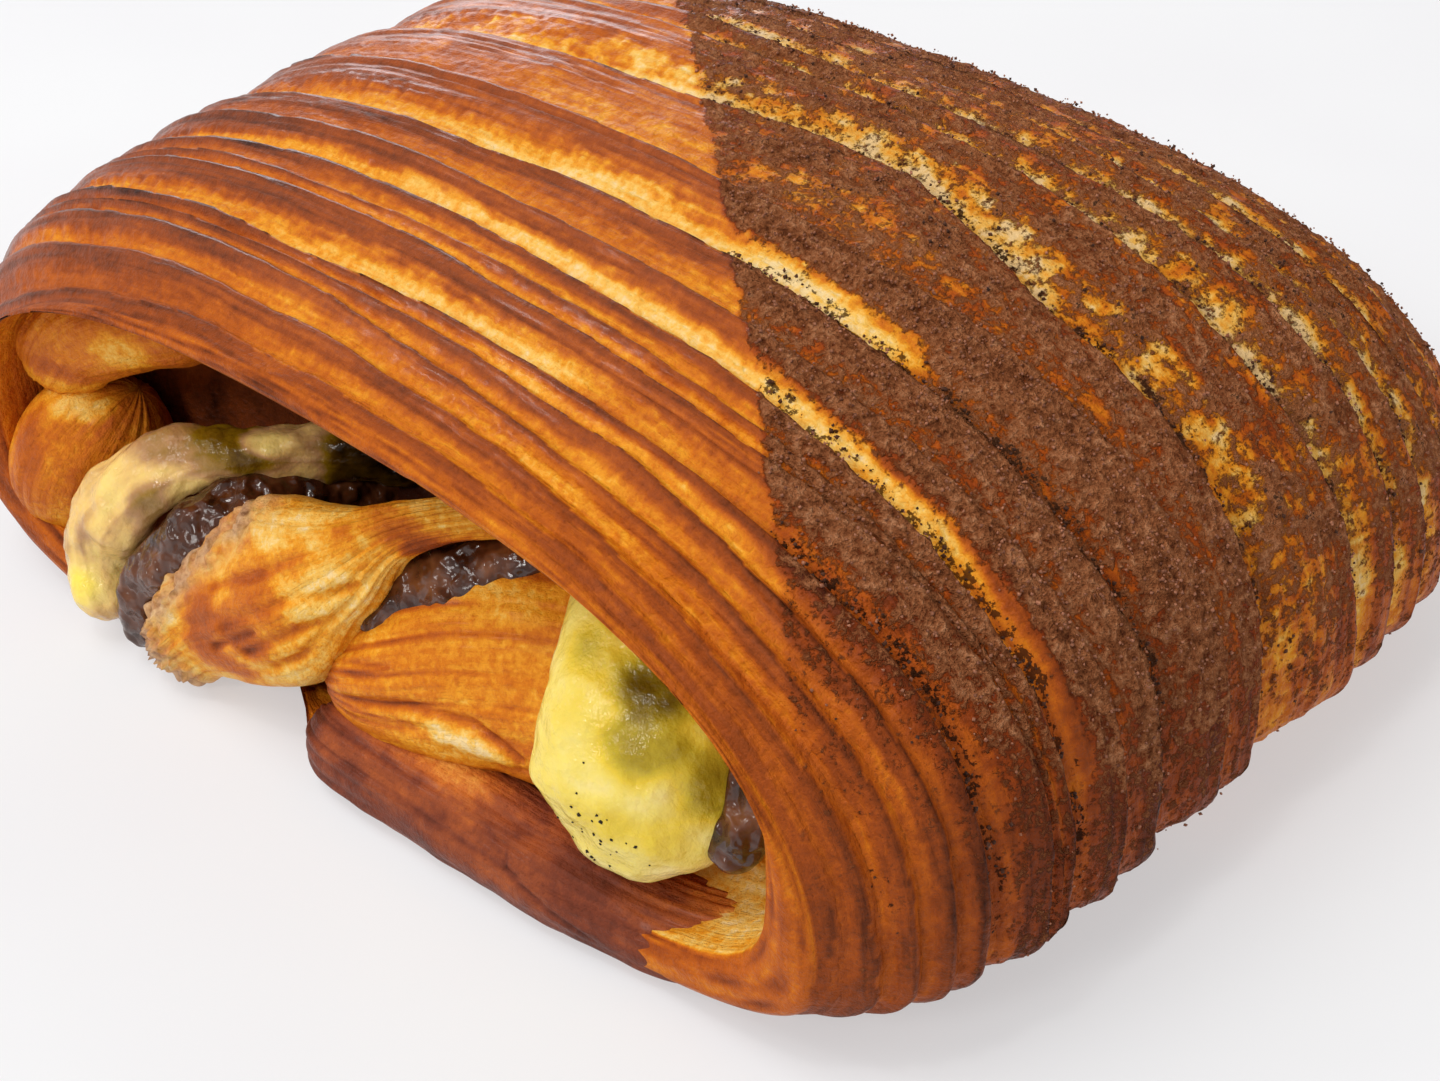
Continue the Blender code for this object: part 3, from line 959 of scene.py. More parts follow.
@dataclass
class Roll:
    """The outer roll: hollow mouth, rounded rim, ridged outside and tucked far end, in one skin."""

    form: RollForm = field(default_factory=RollForm)
    ridges: tuple[Ridge, ...] = RIDGES
    arc_pitch: float = 0.46
    fine_turns: tuple[float, float] = (-60.0, 240.0)
    arc_zero: float = -45.0
    under_columns: int = 26
    rim_round: float = 1.15
    pocket: Sections = (
        (-57.0, 46.6, 4.0, 36.8),
        (-50.7, 45.8, 4.0, 36.4),
        (-44.0, 45.4, 4.6, 36.0),
        (-38.0, 41.0, 8.0, 34.6),
        (-33.5, 30.0, 14.0, 31.6),
        (-31.5, 18.0, 18.0, 28.6),
    )
    pocket_fullness: tuple[float, float] = (2.4, 4.0)
    tail_hollow: Sections = (
        (47.2, 0.3, 9.2, 9.6),
        (47.6, 11.0, 5.6, 13.2),
        (50.4, 16.4, 4.0, 16.2),
        (57.0, 21.0, 3.4, 18.0),
    )
    tail_y: float = 51.4
    tail_middle: float = 10.1
    cleft_centre: Triple = (-12.2, -53.8, -1.0)
    cleft_radii: Triple = (9.0, 10.8, 9.6)
    cocoa_slope: float = 1.1
    cocoa_edge: float = -6.4
    bake_knee: float = 0.68
    resting_height: float = 0.4
    resting_bake: float = 0.80
    front_rows: int = 96
    crown_rows: int = 136
    skin: Sheet | None = None

    def columns(self) -> tuple[Array, Array]:
        """Return the angle of each column and its arc over the widest hoop.

        Returns:
            Angles in radians and arcs in millimetres.
        """
        turns = np.radians(np.linspace(self.fine_turns[0], self.fine_turns[1], 6000))
        hoop = self.form.hoop(np.array(-2.0), turns)
        run = np.concatenate([[0.0], np.cumsum(np.linalg.norm(np.diff(hoop, axis=0), axis=1))])
        zero = np.interp(math.radians(self.arc_zero), turns, run)
        count = int(run[-1] / self.arc_pitch)
        fine = np.interp(np.linspace(0.0, run[-1], count), run, turns)
        under = np.linspace(self.fine_turns[1], self.fine_turns[0] + 360.0, self.under_columns + 2)
        under = np.radians(under[1:-1])
        arc = [np.linspace(0.0, run[-1], count) - zero, np.full(len(under), run[-1] - zero)]
        return np.concatenate([fine, under]), np.concatenate(arc)

    def hollow(self, sections: Sections, y: Array, angle: Array) -> Array:
        """Work out a hollow's outline at each y, at given angles about its own middle.

        Args:
            sections: Sections of the hollow: y, half width, floor and ceiling.
            y: Place of each outline.
            angle: Direction of each point from the middle.

        Returns:
            Points by row and column.
        """
        places = np.array(sections)[np.argsort([section[0] for section in sections])]
        half, floor, ceiling = (np.interp(y, places[:, 0], places[:, index]) for index in (1, 2, 3))
        middle, rise = (floor + ceiling) / 2, (ceiling - floor) / 2
        turn = np.linspace(-math.pi, math.pi, 1441)
        power = np.where(turn > 0, 2.0 / self.pocket_fullness[0], 2.0 / self.pocket_fullness[1])
        across, up = signed_power(np.cos(turn), power), signed_power(np.sin(turn), power)
        rows = []
        for index in range(len(y)):
            x, z = half[index] * across, rise[index] * up
            reached = np.unwrap(np.arctan2(z, x))
            wrapped = (angle - reached[0]) % (2.0 * math.pi) + reached[0]
            row_x, row_z = np.interp(wrapped, reached, x), np.interp(wrapped, reached, z)
            rows.append(np.stack([row_x, np.full(len(angle), y[index]), row_z + middle[index]], axis=-1))
        return np.array(rows)

    def lip(self, inner: Array, outer: Array, reach: float, count: int) -> Array:
        """Return rows that round the edge from an inner ring to an outer ring.

        Args:
            inner: Ring on the hollow.
            outer: Ring on the outside.
            reach: How far the edge stands out along Y.
            count: Number of rows.

        Returns:
            Points by row and column.
        """
        swing = np.linspace(0.0, math.pi, count + 2)[1:-1, None, None]
        middle, half = (inner + outer) / 2, (outer - inner) / 2
        ahead = np.array([0.0, reach, 0.0])
        return middle - half * np.cos(swing) + ahead * np.sin(swing)

    def base(self) -> tuple[Sheet, dict[str, int]]:
        """Return the plain skin and the rows where its stretches start.

        Returns:
            The skin, and the first row of each stretch by its name.
        """
        turn, arc = self.columns()
        edge_y = self.form.rim_y + self.rim_round
        edge = self.form.hoop(np.array(edge_y), turn)
        section = np.array(self.pocket)
        middle = np.interp(edge_y, section[:, 0], (section[:, 2] + section[:, 3]) / 2)
        angle = np.arctan2(edge[:, 2] - middle, edge[:, 0])
        deep_y, bend_y = self.pocket[-1][0], -40.0
        pocket_y = np.concatenate([
            np.linspace(deep_y, bend_y, 20, endpoint=False),
            np.linspace(bend_y, edge_y, 26),
        ])
        pocket = self.hollow(self.pocket, pocket_y, angle)
        rim = self.lip(pocket[-1], edge, -self.rim_round, 11)
        outside_y = np.concatenate([
            np.arange(edge_y, -28.0, 0.22),
            np.arange(-28.0, 8.0, 0.26),
            np.arange(8.0, self.tail_y, 0.42),
            [self.tail_y],
        ])
        outside = self.form.hoop(outside_y[:, None], turn[None, :])
        tail_angle = np.arctan2(outside[-1][:, 2] - self.tail_middle, outside[-1][:, 0])
        dimple_floor, dimple_wall = self.tail_hollow[0][0], self.tail_hollow[1][0]
        tail_y = np.concatenate([
            np.linspace(self.tail_y, dimple_wall, 9, endpoint=False),
            np.linspace(dimple_wall, dimple_floor, 6),
        ])
        tail = self.hollow(self.tail_hollow, tail_y, tail_angle)
        tail_lip = self.lip(outside[-1], tail[0], 1.0, 18)
        parts = [pocket, rim, outside, tail_lip, tail]
        starts = np.cumsum([0] + [len(part) for part in parts]).tolist()
        sheet = Sheet(np.concatenate(parts))
        sheet.values["arc"] = np.broadcast_to(arc, sheet.points.shape[:2]).copy()
        return sheet, dict(zip(("pocket", "rim", "outside", "tail_lip", "tail", "end"), starts))

    def lines(self, arc: Array) -> Array:
        """Return y of every ridge's step at each arc, with a hand-made waver.

        Args:
            arc: Arc of each column.

        Returns:
            Places by ridge and column.
        """
        lines = np.array([ridge.line(arc) for ridge in self.ridges])
        waver = Noise(5)
        for index in range(len(lines)):
            lines[index] += 0.35 * waver.read(arc / 14.0, np.full(arc.shape, index * 3.7))
            lines[index] += 0.12 * waver.read(arc / 3.2, np.full(arc.shape, index * 5.1))
            if index:
                lines[index] = np.maximum(lines[index], lines[index - 1] + 0.7)
        return lines

    def survey(self, points: Array, arc: Array) -> RidgeMap:
        """Find where each point lies between the steps of the ridges.

        Args:
            points: Points of the plain skin.
            arc: Arc of each point.

        Returns:
            What the ridges say at each point.
        """
        y = points[..., 1]
        lines = self.lines(arc[0])
        nominal = np.array([ridge.line(np.array(100.0)) for ridge in self.ridges])
        layer, behind, gap = np.zeros(y.shape), np.zeros(y.shape), np.ones(y.shape)
        index = np.zeros(y.shape, dtype=np.int64)
        for column in range(y.shape[1]):
            places = np.concatenate([[-53.0], lines[:, column], [54.0]])
            here = y[:, column]
            found = np.clip(np.searchsorted(places, here, side="right") - 1, 0, len(places) - 2)
            layer[:, column] = np.interp(here, places, np.concatenate([[-53.0], nominal, [54.0]]))
            behind[:, column] = here - places[found]
            gap[:, column] = places[found + 1] - places[found]
            index[:, column] = found - 1
        pick = np.clip(index, 0, len(self.ridges) - 1)
        following = np.clip(index + 1, 0, len(self.ridges) - 1)
        started = index >= 0

        def of_ridges(label: str, which: Array) -> Array:
            """Return a number of each point's own ridge."""
            return np.array([getattr(ridge, label) for ridge in self.ridges])[which]

        span = of_ridges("span", pick)
        in_span = smooth((arc - span[..., 0]) / 8.0) * smooth((span[..., 1] - arc) / 8.0)
        pale = of_ridges("pale", pick) * started * (0.35 + 0.65 * in_span)
        return RidgeMap(
            arc, layer, behind, gap, of_ridges("depth", pick) * started, pale,
            of_ridges("width", pick), of_ridges("crest", following),
        )

    def relief(self, ridges: RidgeMap) -> Array:
        """Return how far the ridged crust stands over the plain skin.

        Args:
            ridges: What the ridges say at each point.

        Returns:
            Heights in millimetres, less than 0 in the grooves.
        """
        slow, broad = Noise(11), Noise(12)
        arc, layer = ridges.arc, ridges.layer
        falling = smooth(ridges.behind / 0.38)
        rising = 1.0 - smooth((ridges.behind - 0.3) / np.maximum(ridges.gap * 0.82, 0.6))
        sink = ridges.depth * falling * rising * (0.85 + 0.3 * slow.read(arc / 11.0, layer / 4.0))
        lip = 0.16 * ridges.depth * band(ridges.gap - ridges.behind, 0.35, 0.9)
        striae = 0.13 * ridges.threads() - 0.14 * ridges.cuts()
        amount = lip - sink + striae * (0.4 + 0.6 * ridges.on_crest())
        amount = amount + 0.2 * broad.layered(arc / 16.0, layer / 9.0)
        blistered = np.clip(ridges.in_groove() * ridges.depth, 0.15, 1.0)
        return amount + ridges.bubbles(0.26, 0.16) * blistered

    def far_half(self, points: Array) -> Array:
        """Return 0 on the near half, with its wide strips, and 1 on the blistered far half."""
        return smooth((points[..., 1] + 16.0) / 14.0)

    def baking_and_shade(self, ridges: RidgeMap, points: Array) -> Array:
        """Work out how dark the crust is baked, with painted shade on its right-front and lower right
        sides.

        Args:
            ridges: What the ridges say at each point.
            points: Points of the plain skin.

        Returns:
            Values of 0, pale crumb, to 1, nearly black.
        """
        slow, broad = Noise(11), Noise(12)
        arc, layer, behind, gap = ridges.arc, ridges.layer, ridges.behind, ridges.gap
        y, z = points[..., 1], points[..., 2]
        far = self.far_half(points)
        near = 1.0 - far

        # From the pale dough behind each step up to the baked crest
        width = ridges.width * (1.0 + 0.5 * slow.read(arc / 7.0, layer / 3.0, 2.0))
        lowest = 0.09 + 0.42 * (1.0 - ridges.pale)
        middle = 0.38 + 0.12 * (1.0 - ridges.pale)
        first = smooth((ridges.seen() - 0.3 * width) / (1.1 * width))
        second = smooth((behind / gap - 0.38 + 0.12 * slow.layered(arc / 3.0, layer, 7.0)) / 0.36)
        bake_and_shade = lowest + (middle - lowest) * first + (ridges.crest - middle) * second

        # Bubbles in the grooves, fine layers on the crests and the dark edge of each step
        stepped = np.clip(ridges.depth, 0.3, 1.0)
        bake_and_shade -= ridges.bubbles(0.20, 0.16) * first * (1.0 - 0.65 * second) * stepped
        bake_and_shade += (0.17 * ridges.cuts() + 0.15 * ridges.threads()) * (0.35 + 0.65 * ridges.on_crest())
        bake_and_shade += 0.14 * band(gap - behind, 0.10, 0.5) * stepped
        bake_and_shade += 0.08 * broad.layered(arc / 10.0, layer / 3.0, 3.0)

        # Pale blisters
        toasted = 0.22 + 0.16 * slow.layered(arc / 2.2, layer / 2.2, 6.0)
        toasted = toasted * (0.4 + 0.6 * smooth((z - 8.0) / 14.0))
        bake_and_shade -= toasted * self.blisters(arc, layer) * far * (1.0 - 0.4 * ridges.on_crest())

        # Darker top, mouth and edge near the floor, and pale strips that darken on their way down
        strip = smooth((ridges.pale - 0.6) / 0.3) * (1.0 - second)
        bake_and_shade += 0.07 * second * smooth((arc - 58.0) / 20.0) * near
        bake_and_shade += 0.06 * self.dusted_side(points) * near * (1.0 - strip)
        # Painted shade: the right-front side is darker where less light falls
        bake_and_shade += 0.14 * smooth((76.0 - arc) / 30.0) * near * (1.0 - strip)
        bake_and_shade += 0.46 * smooth((59.0 - arc) / 24.0) * strip
        # Painted shade: the lower right side is darker where less light falls
        bake_and_shade += 0.08 * smooth((40.0 - arc) / 20.0) * (1.0 - 0.3 * far)
        bake_and_shade += 0.17 * smooth((arc - 104.0) / 22.0) - 0.05 * far
        bake_and_shade += 0.10 * smooth((5.0 - z) / 5.0) + 0.06 * smooth((-44.0 - y) / 4.0)
        knee = self.bake_knee
        bake_and_shade = np.where(bake_and_shade > knee, knee + 0.5 * (bake_and_shade - knee), bake_and_shade)
        return np.where(z < self.resting_height, self.resting_bake, bake_and_shade)

    def blisters(self, arc: Array, layer: Array) -> Array:
        """Return 1 on the pale blisters of the far crust, small ones and large ones.

        Args:
            arc: Arc of each point.
            layer: Layer of the dough at each point.

        Returns:
            Values of 0 to 1.
        """
        spots, sway = Noise(14), Noise(33)
        bent_arc = arc + 1.4 * sway.layered(arc / 3.0, layer / 3.0)
        bent_layer = layer + 1.4 * sway.layered(arc / 3.0, layer / 3.0, 5.0)
        small = smooth((0.46 - spots.cells(bent_arc / 2.2 + 9.0, bent_layer / 2.7)) / 0.34)
        large = smooth((0.47 - spots.cells(bent_arc / 5.2 + 3.0, bent_layer / 4.8)) / 0.34)
        few = smooth(0.45 + 1.4 * sway.read(arc / 9.0, layer / 9.0, 2.0))
        return np.clip(np.maximum(0.8 * small * few, large), 0.0, 1.0)

    def dusted_side(self, points: Array) -> Array:
        """Return 1 on the dusted half and 0 on the bare half, with a sharp jagged edge.

        Args:
            points: Points of the plain skin.

        Returns:
            Values of 0 to 1.
        """
        jagged = 0.5 * Noise(31).layered(points[..., 0] / 3.0, points[..., 1] / 3.0, points[..., 2] / 3.0)
        lean = math.hypot(1.0, self.cocoa_slope)
        past_edge = (points[..., 0] + self.cocoa_slope * points[..., 1] - self.cocoa_edge) / lean + jagged
        return smooth((past_edge + 0.4) / 0.8)

    def dusting(self, ridges: RidgeMap, points: Array) -> tuple[Array, Array]:
        """Lay out the cocoa.

        Args:
            ridges: What the ridges say at each point.
            points: Points of the plain skin.

        Returns:
            How thickly cocoa covers each point, and where it has fallen into dark clots.
        """
        waver, broad = Noise(31), Noise(32)
        arc, layer, share = ridges.arc, ridges.layer, ridges.behind / ridges.gap
        y, z = points[..., 1], points[..., 2]
        dusted, far, seen = self.dusted_side(points), self.far_half(points), ridges.seen()
        uneven = waver.layered(arc / 2.0, layer / 1.4, 4.0)
        blotch = broad.layered(arc / 5.0, layer / 3.6, 12.0)

        # Little cocoa stays on the steep sides and beside the mouth
        bare_below = 12.0 + 9.0 * smooth((-22.0 - y) / 12.0)
        facing_up = 0.30 + 0.70 * smooth((z - bare_below) / 17.0)
        facing_up = facing_up * (0.24 + 0.76 * smooth((y + 44.0) / 12.0))

        # Near the mouth the crests hold it, and on the far half it is blotched round the blisters
        crest_cover = smooth((share - 0.38 + 0.22 * uneven) / 0.22)
        striped = smooth((ridges.pale - 0.45) / 0.3)
        near_cover = 0.10 + 0.82 * (crest_cover + (1.0 - striped) * (1.0 - crest_cover) * 0.45)
        bare = self.blisters(arc, layer) * (1.0 - 0.5 * ridges.on_crest())
        far_cover = 0.50 + 0.30 * blotch + 0.24 * uneven
        far_cover = far_cover + 0.12 * ridges.on_crest() - 0.50 * bare
        cover = near_cover + (far_cover - near_cover) * far
        cover += 0.12 * broad.layered(arc / 6.0, layer / 4.0, 8.0)
        strip = smooth((ridges.pale - 0.6) / 0.25) * smooth((3.0 - seen + 0.6 * uneven) / 1.6)
        cover *= 1.0 - 0.80 * strip
        cover = np.maximum(cover, 0.20 * far)

        # Clots lie against the steps, and here and there on the far half
        step = smooth((1.2 - seen + 0.7 * uneven) / 0.8) * smooth(ridges.behind / 0.1)
        deep = np.clip((ridges.depth - 0.7) / 0.6, 0.0, 1.0)
        clot = step * deep * smooth(0.8 + 1.2 * broad.read(arc / 4.0, layer, 17.0))
        clot = np.maximum(clot, 0.5 * far * smooth((blotch - 0.12) / 0.3)) * smooth((z - 8.0) / 12.0)
        return np.clip(cover * facing_up, 0.01, 1.0) * dusted, np.clip(clot, 0.0, 1.0) * dusted

    def build(self) -> tuple[Sheet, dict[str, int]]:
        """Return the finished skin with its values, and the rows where its stretches start.

        Returns:
            The skin, and the first row of each stretch by its name.
        """
        sheet, rows = self.base()
        points, arc = sheet.points, sheet.values["arc"]
        y = points[..., 1]
        row = np.arange(len(points))[:, None] * np.ones(y.shape)
        pocket, tail = row < rows["rim"], row >= rows["tail_lip"]
        rim, outside = ~pocket & (row < rows["outside"]), (row >= rows["outside"]) & ~tail
        ridges = self.survey(points, arc)
        fade = smooth((points[..., 2] - 0.5) / 4.0) * smooth((y - self.form.rim_y - 0.6) / 1.6)
        fade = fade * smooth((self.tail_y - 0.3 - y) / 3.0) * outside
        cocoa, clot = self.dusting(ridges, points)
        grains = Noise(21)
        clumps = np.clip(grains.layered(arc / 0.95, y / 0.95), -0.3, 1.2) + 0.3
        around = Noise(41)
        x, z = points[..., 0], points[..., 2]
        depth_in = y - self.form.rim_y
        inner_lines = around.read(y / 0.9 + 0.05 * arc, arc / 30.0)
        rim_lines = around.read((row - rows["rim"]) / 1.6, arc / 26.0, 3.0)
        rim_cuts = hairline(rim_lines)
        amount = (self.relief(ridges) + 0.36 * cocoa * clumps) * fade
        amount += (0.14 * rim_lines - 0.2 * rim_cuts) * rim
        amount -= 0.14 * inner_lines * pocket * smooth(depth_in / 3.0)
        sheet.push(amount)
        rim_bake = 0.54 + 0.09 * smooth((arc - 80.0) / 30.0) + 0.10 * rim_lines + 0.22 * rim_cuts
        rim_bake = rim_bake + 0.08 * around.layered(arc / 5.0, y)
        inner = 0.30 - 0.12 * smooth((x - 20.0) / 12.0) + 0.14 * inner_lines
        inner = inner + 0.10 * around.layered(arc / 9.0, y / 9.0)
        # Painted shade: the pocket's dough darkens with depth, most towards the right, where the hollow
        # lies in shade
        far_in = depth_in - 3.0 - 5.0 * smooth((x - 20.0) / 15.0)
        inner += (0.42 + 0.45 * smooth((x + 24.0) / 10.0)) * smooth(far_in / 6.0)
        inner += 0.12 * smooth((arc - 70.0) / 30.0)
        tail_bake = 0.52 + 0.15 * around.read(x / 1.1, z / 1.1, 5.0)
        bake_and_shade = np.where(rim, rim_bake, self.baking_and_shade(ridges, points))
        bake_and_shade = np.where(tail, tail_bake, np.where(pocket, inner, bake_and_shade))
        sheet.values["bake_and_shade"] = np.clip(bake_and_shade, 0.0, 1.0)
        sheet.values["layer"] = ridges.layer
        shoulder = smooth((arc - 62.0) / 30.0) * smooth((y + 52.0) / 10.0)
        sheet.values["glaze"] = (0.02 + 0.42 * shoulder * (0.35 + 0.65 * ridges.on_crest())) * outside
        sheet.values["cocoa"] = cocoa * outside
        sheet.values["clot"] = clot * outside
        self.carve_cleft(sheet)
        sheet.points[..., 2] = np.maximum(sheet.points[..., 2], 0.0)
        return sheet, rows

    def carve_cleft(self, sheet: Sheet) -> None:
        """Push the skin out of the cleft under the twist.

        Args:
            sheet: The skin, which is changed.
        """
        centre, radii = np.array(self.cleft_centre), np.array(self.cleft_radii)
        offset = (sheet.points - centre) / radii
        reach = np.linalg.norm(offset, axis=-1, keepdims=True)
        inside = reach < 1.0
        sheet.points = np.where(inside, centre + offset / np.maximum(reach, 0.05) * radii, sheet.points)

    def make(self, crust: bpy.types.Material) -> list[Piece]:
        """Build the skin's pieces and dress them.

        Args:
            crust: Material of the crust.

        Returns:
            The pieces, from the mouth to the far end.
        """
        sheet, rows = self.build()
        front = rows["outside"] + self.front_rows
        cuts = [0, front, front + self.crown_rows, rows["end"] - 1]
        names = ("mouth_and_front_ridges", "crown_ridges", "tail_ridges")
        made = []
        for name, first, last in zip(names, cuts, cuts[1:]):
            piece = sheet.piece(name, first, last, caps=False)
            made.append(dress(piece, crust, "pastry"))
        self.skin = sheet
        return made


Station = tuple[float, float, float, float, float]
UP = (0.0, 0.0, 1.0)
TO_FRONT = (0.35, -0.72, 0.60)
TO_RIGHT = (0.80, -0.55, 0.25)


@dataclass
class Strand:
    """A rounded strand of dough or filling along stations of x, y, z, half width and half thickness."""

    name: str
    stations: tuple[Station, ...]
    facing: Triple = TO_FRONT
    rings: int = 160
    segments: int = 120
    floor: float = 0.15
    seed: int = 1
    node: str = "pastry"
    slot: Slot = Slot.DOUGH
    face: Sheet | None = field(default=None, init=False)

    def centre_line(self) -> tuple[Array, Array]:
        """Return the centres and the half sizes of each ring.

        Returns:
            Points of the centre line, and half width and half thickness at each.
        """
        table = np.array(self.stations, dtype=float)
        last = len(table) - 1
        share = np.linspace(0.0, 1.0, self.rings)
        place = (0.35 * (0.5 - 0.5 * np.cos(math.pi * share)) + 0.65 * share) * last
        index = np.minimum(place.astype(int), last - 1)
        t = (place - index)[:, None]
        a, b = table[np.maximum(index - 1, 0)], table[index]
        c, d = table[index + 1], table[np.minimum(index + 2, last)]
        slope, curve = 0.5 * (c - a), a - 2.5 * b + 2.0 * c - 0.5 * d
        twist = 0.5 * (3.0 * (b - c) + d - a)
        values = b + slope * t + curve * t * t + twist * t ** 3
        return values[:, :3], values[:, 3:]

    def sheet(self) -> Sheet:
        """Return the smooth strand, with the run along it and the turn round it as values.

        Returns:
            The strand's skin.
        """
        centre, sizes = self.centre_line()
        along = np.gradient(centre, axis=0)
        step = np.linalg.norm(along, axis=1)
        along = along / step[:, None]
        facing = np.array(self.facing) / np.linalg.norm(self.facing)
        side = np.cross(along, facing)
        side /= np.linalg.norm(side, axis=1, keepdims=True)
        normal = np.cross(side, along)
        run = np.concatenate([[0.0], np.cumsum(np.linalg.norm(np.diff(centre, axis=0), axis=1))])
        near_end = np.minimum(run, run[-1] - run)
        blunt = np.minimum(near_end / np.maximum(sizes[:, 0], 1.0), 1.0)
        close = np.maximum(np.sqrt(1.0 - (1.0 - blunt) ** 2), 0.04)
        turn = np.linspace(0.0, 2.0 * math.pi, self.segments, endpoint=False)
        half, thick = (sizes[:, 0] * close)[:, None, None], (sizes[:, 1] * close)[:, None, None]
        ring = side[:, None, :] * half * np.cos(turn)[None, :, None]
        ring = ring + normal[:, None, :] * thick * np.sin(turn)[None, :, None]
        sheet = Sheet(centre[:, None, :] + ring)
        grid = np.ones((self.rings, self.segments))
        sheet.values["run"] = run[:, None] * grid
        sheet.values["turn"] = turn[None, :] * grid
        return sheet

    def shape(self, sheet: Sheet) -> None:
        """Give the strand its surface; a plain strand stays smooth."""

    def make(self, material: bpy.types.Material) -> Piece:
        """Build the strand, keep it above the floor and dress it.

        Args:
            material: Its finish.

        Returns:
            The piece.
        """
        sheet = self.sheet()
        self.shape(sheet)
        sheet.points[..., 2] = np.maximum(sheet.points[..., 2], self.floor)
        self.face = sheet
        return dress(sheet.piece(self.name), material, self.node)


@dataclass(frozen=True)
class Patch:
    """A spot on a piece: its middle, its reach, how far it stands up and what it does to the surface."""

    centre: Triple
    reach: Triple
    rise: float
    target: float
    strength: float = 1.0

    def weight(self, points: Array, waver: Array) -> Array:
        """Return 1 in the middle of the spot and 0 outside it, with an uneven edge."""
        away = np.linalg.norm((points - np.array(self.centre)) / np.array(self.reach), axis=-1)
        return smooth((1.35 - away + 0.22 * waver) / 1.05)


@dataclass(frozen=True)
class Crease:
    """A thin line pressed into a piece along a path of points, and painted darker as the shade in it."""

    path: tuple[Triple, ...]
    half: float
    depth: float
    darker: float

    def weight(self, points: Array) -> Array:
        """Return 1 on the line and 0 beside it.

        Args:
            points: Points of the piece.

        Returns:
            Values of 0 to 1.
        """
        nearest = np.full(points.shape[:2], 1e3)
        for start, end in zip(np.array(self.path), np.array(self.path[1:])):
            reach = end - start
            share = np.clip(((points - start) @ reach) / (reach @ reach), 0.0, 1.0)
            away = np.linalg.norm(points - start - share[..., None] * reach, axis=-1)
            nearest = np.minimum(nearest, away)
        return smooth(1.0 - nearest / self.half)


@dataclass
class DoughFold(Strand):
    """A fold of laminated dough: lines run along it, with paler edges and baked faces."""

    line_pitch: float = 0.8
    relief: float = 0.12
    bake_and_shade: float = 0.40
    contrast: float = 0.10
    mottle: float = 0.10
    patches: tuple[Patch, ...] = ()
    creases: tuple[Crease, ...] = ()
    crumb_edge: bool = False

    def crumbs(self, sheet: Sheet) -> Array:
        """Return how far the torn crumb shows: along the fold's far edge, and at its first end.

        Args:
            sheet: The fold's skin.

        Returns:
            Values of 0 to 1.
        """
        run, turn = sheet.values["run"], np.degrees(sheet.values["turn"])
        middle = 116.0 + 2.1 * (run - 5.0)
        edge = smooth(1.4 - np.abs(turn - middle) / 25.0) * smooth((26.0 - run) / 8.0)
        start = smooth((6.5 - run) / 3.0) * smooth((150.0 - np.abs(turn - 60.0)) / 40.0)
        return np.clip(np.maximum(edge, start), 0.0, 1.0)

    def shape(self, sheet: Sheet) -> None:
        """Give the fold its laminated relief and its values.

        Args:
            sheet: The fold's smooth skin, which is changed.
        """
        noise = Noise(self.seed)
        run, turn = sheet.values["run"], sheet.values["turn"]
        across = np.cos(turn) * 6.0
        wave = 0.25 * noise.read(run / 16.0, across / 4.0, 1.0)
        fanned = 1.35 - 0.75 * smooth(run / 24.0)
        lines = noise.read(across / (self.line_pitch * 0.6) + wave, run / 34.0)
        cut = hairline(noise.read(across / (self.line_pitch * 1.6) + wave, run / 40.0, 7.0))
        swell = noise.layered(run / 8.0, across / 5.0, 2.0)
        waver = noise.layered(run / 3.0, across / 2.0, 11.0)
        amount = self.relief * lines - 1.3 * self.relief * cut + 0.22 * swell
        bake_and_shade = self.bake_and_shade + (self.contrast * lines + 1.8 * self.contrast * cut) * fanned
        bake_and_shade += self.mottle * noise.layered(run / 6.0, across / 3.0, 5.0)
        crumb = self.crumbs(sheet) if self.crumb_edge else np.zeros(run.shape)
        places = sheet.points
        for patch in self.patches:
            weight = patch.weight(places, waver)
            amount = amount + patch.rise * weight
            bake_and_shade = bake_and_shade + (patch.target - bake_and_shade) * weight * patch.strength
        # Each crease sinks in and is painted darker, as the shade that lies in it
        for crease in self.creases:
            weight = crease.weight(places)
            amount = amount - crease.depth * weight
            bake_and_shade = bake_and_shade + crease.darker * weight
        amount = amount + crumb * (0.35 + 0.9 * (0.5 - noise.cells(run / 1.5, across / 1.1)))
        sheet.push(amount)
        sheet.values["bake_and_shade"] = np.clip(bake_and_shade, 0.0, 1.0)
        sheet.values["crumb"] = np.clip(crumb * (0.8 + 0.5 * waver), 0.0, 1.0)
        sheet.values["layer"] = across
        sheet.values["arc"] = run


@dataclass
class Filling(Strand):
    """A ribbon of custard or chocolate with a soft lumpy surface."""

    node: str = "custard"
    slot: Slot = Slot.CUSTARD
    lump: float = 0.5
    lump_size: float = 4.0
    tone: float = 0.30
    patches: tuple[Patch, ...] = ()
    streaks: float = 0.0

    def shape(self, sheet: Sheet) -> None:
        """Give the ribbon its lumps and tone.

        Args:
            sheet: The ribbon's smooth skin, which is changed.
        """
        noise = Noise(self.seed)
        x, y, z = (sheet.points[..., axis] / self.lump_size for axis in range(3))
        amount = self.lump * noise.layered(x, y, z)
        tone = self.tone + 0.10 * noise.layered(x / 1.6, y / 1.6, z / 1.6 + 9.0)
        waver = noise.layered(x, y, z + 21.0)
        pulled = noise.layered(np.cos(sheet.values["turn"]) * 3.2, sheet.values["run"] / 12.0, 31.0)
        amount = amount + 0.5 * self.streaks * pulled
        tone = tone + self.streaks * pulled
        for patch in self.patches:
            weight = patch.weight(sheet.points, waver)
            amount = amount + patch.rise * weight
            tone = tone + (patch.target - tone) * weight * patch.strength
        sheet.push(amount)
        sheet.values["tone"] = np.clip(tone, 0.0, 1.0)


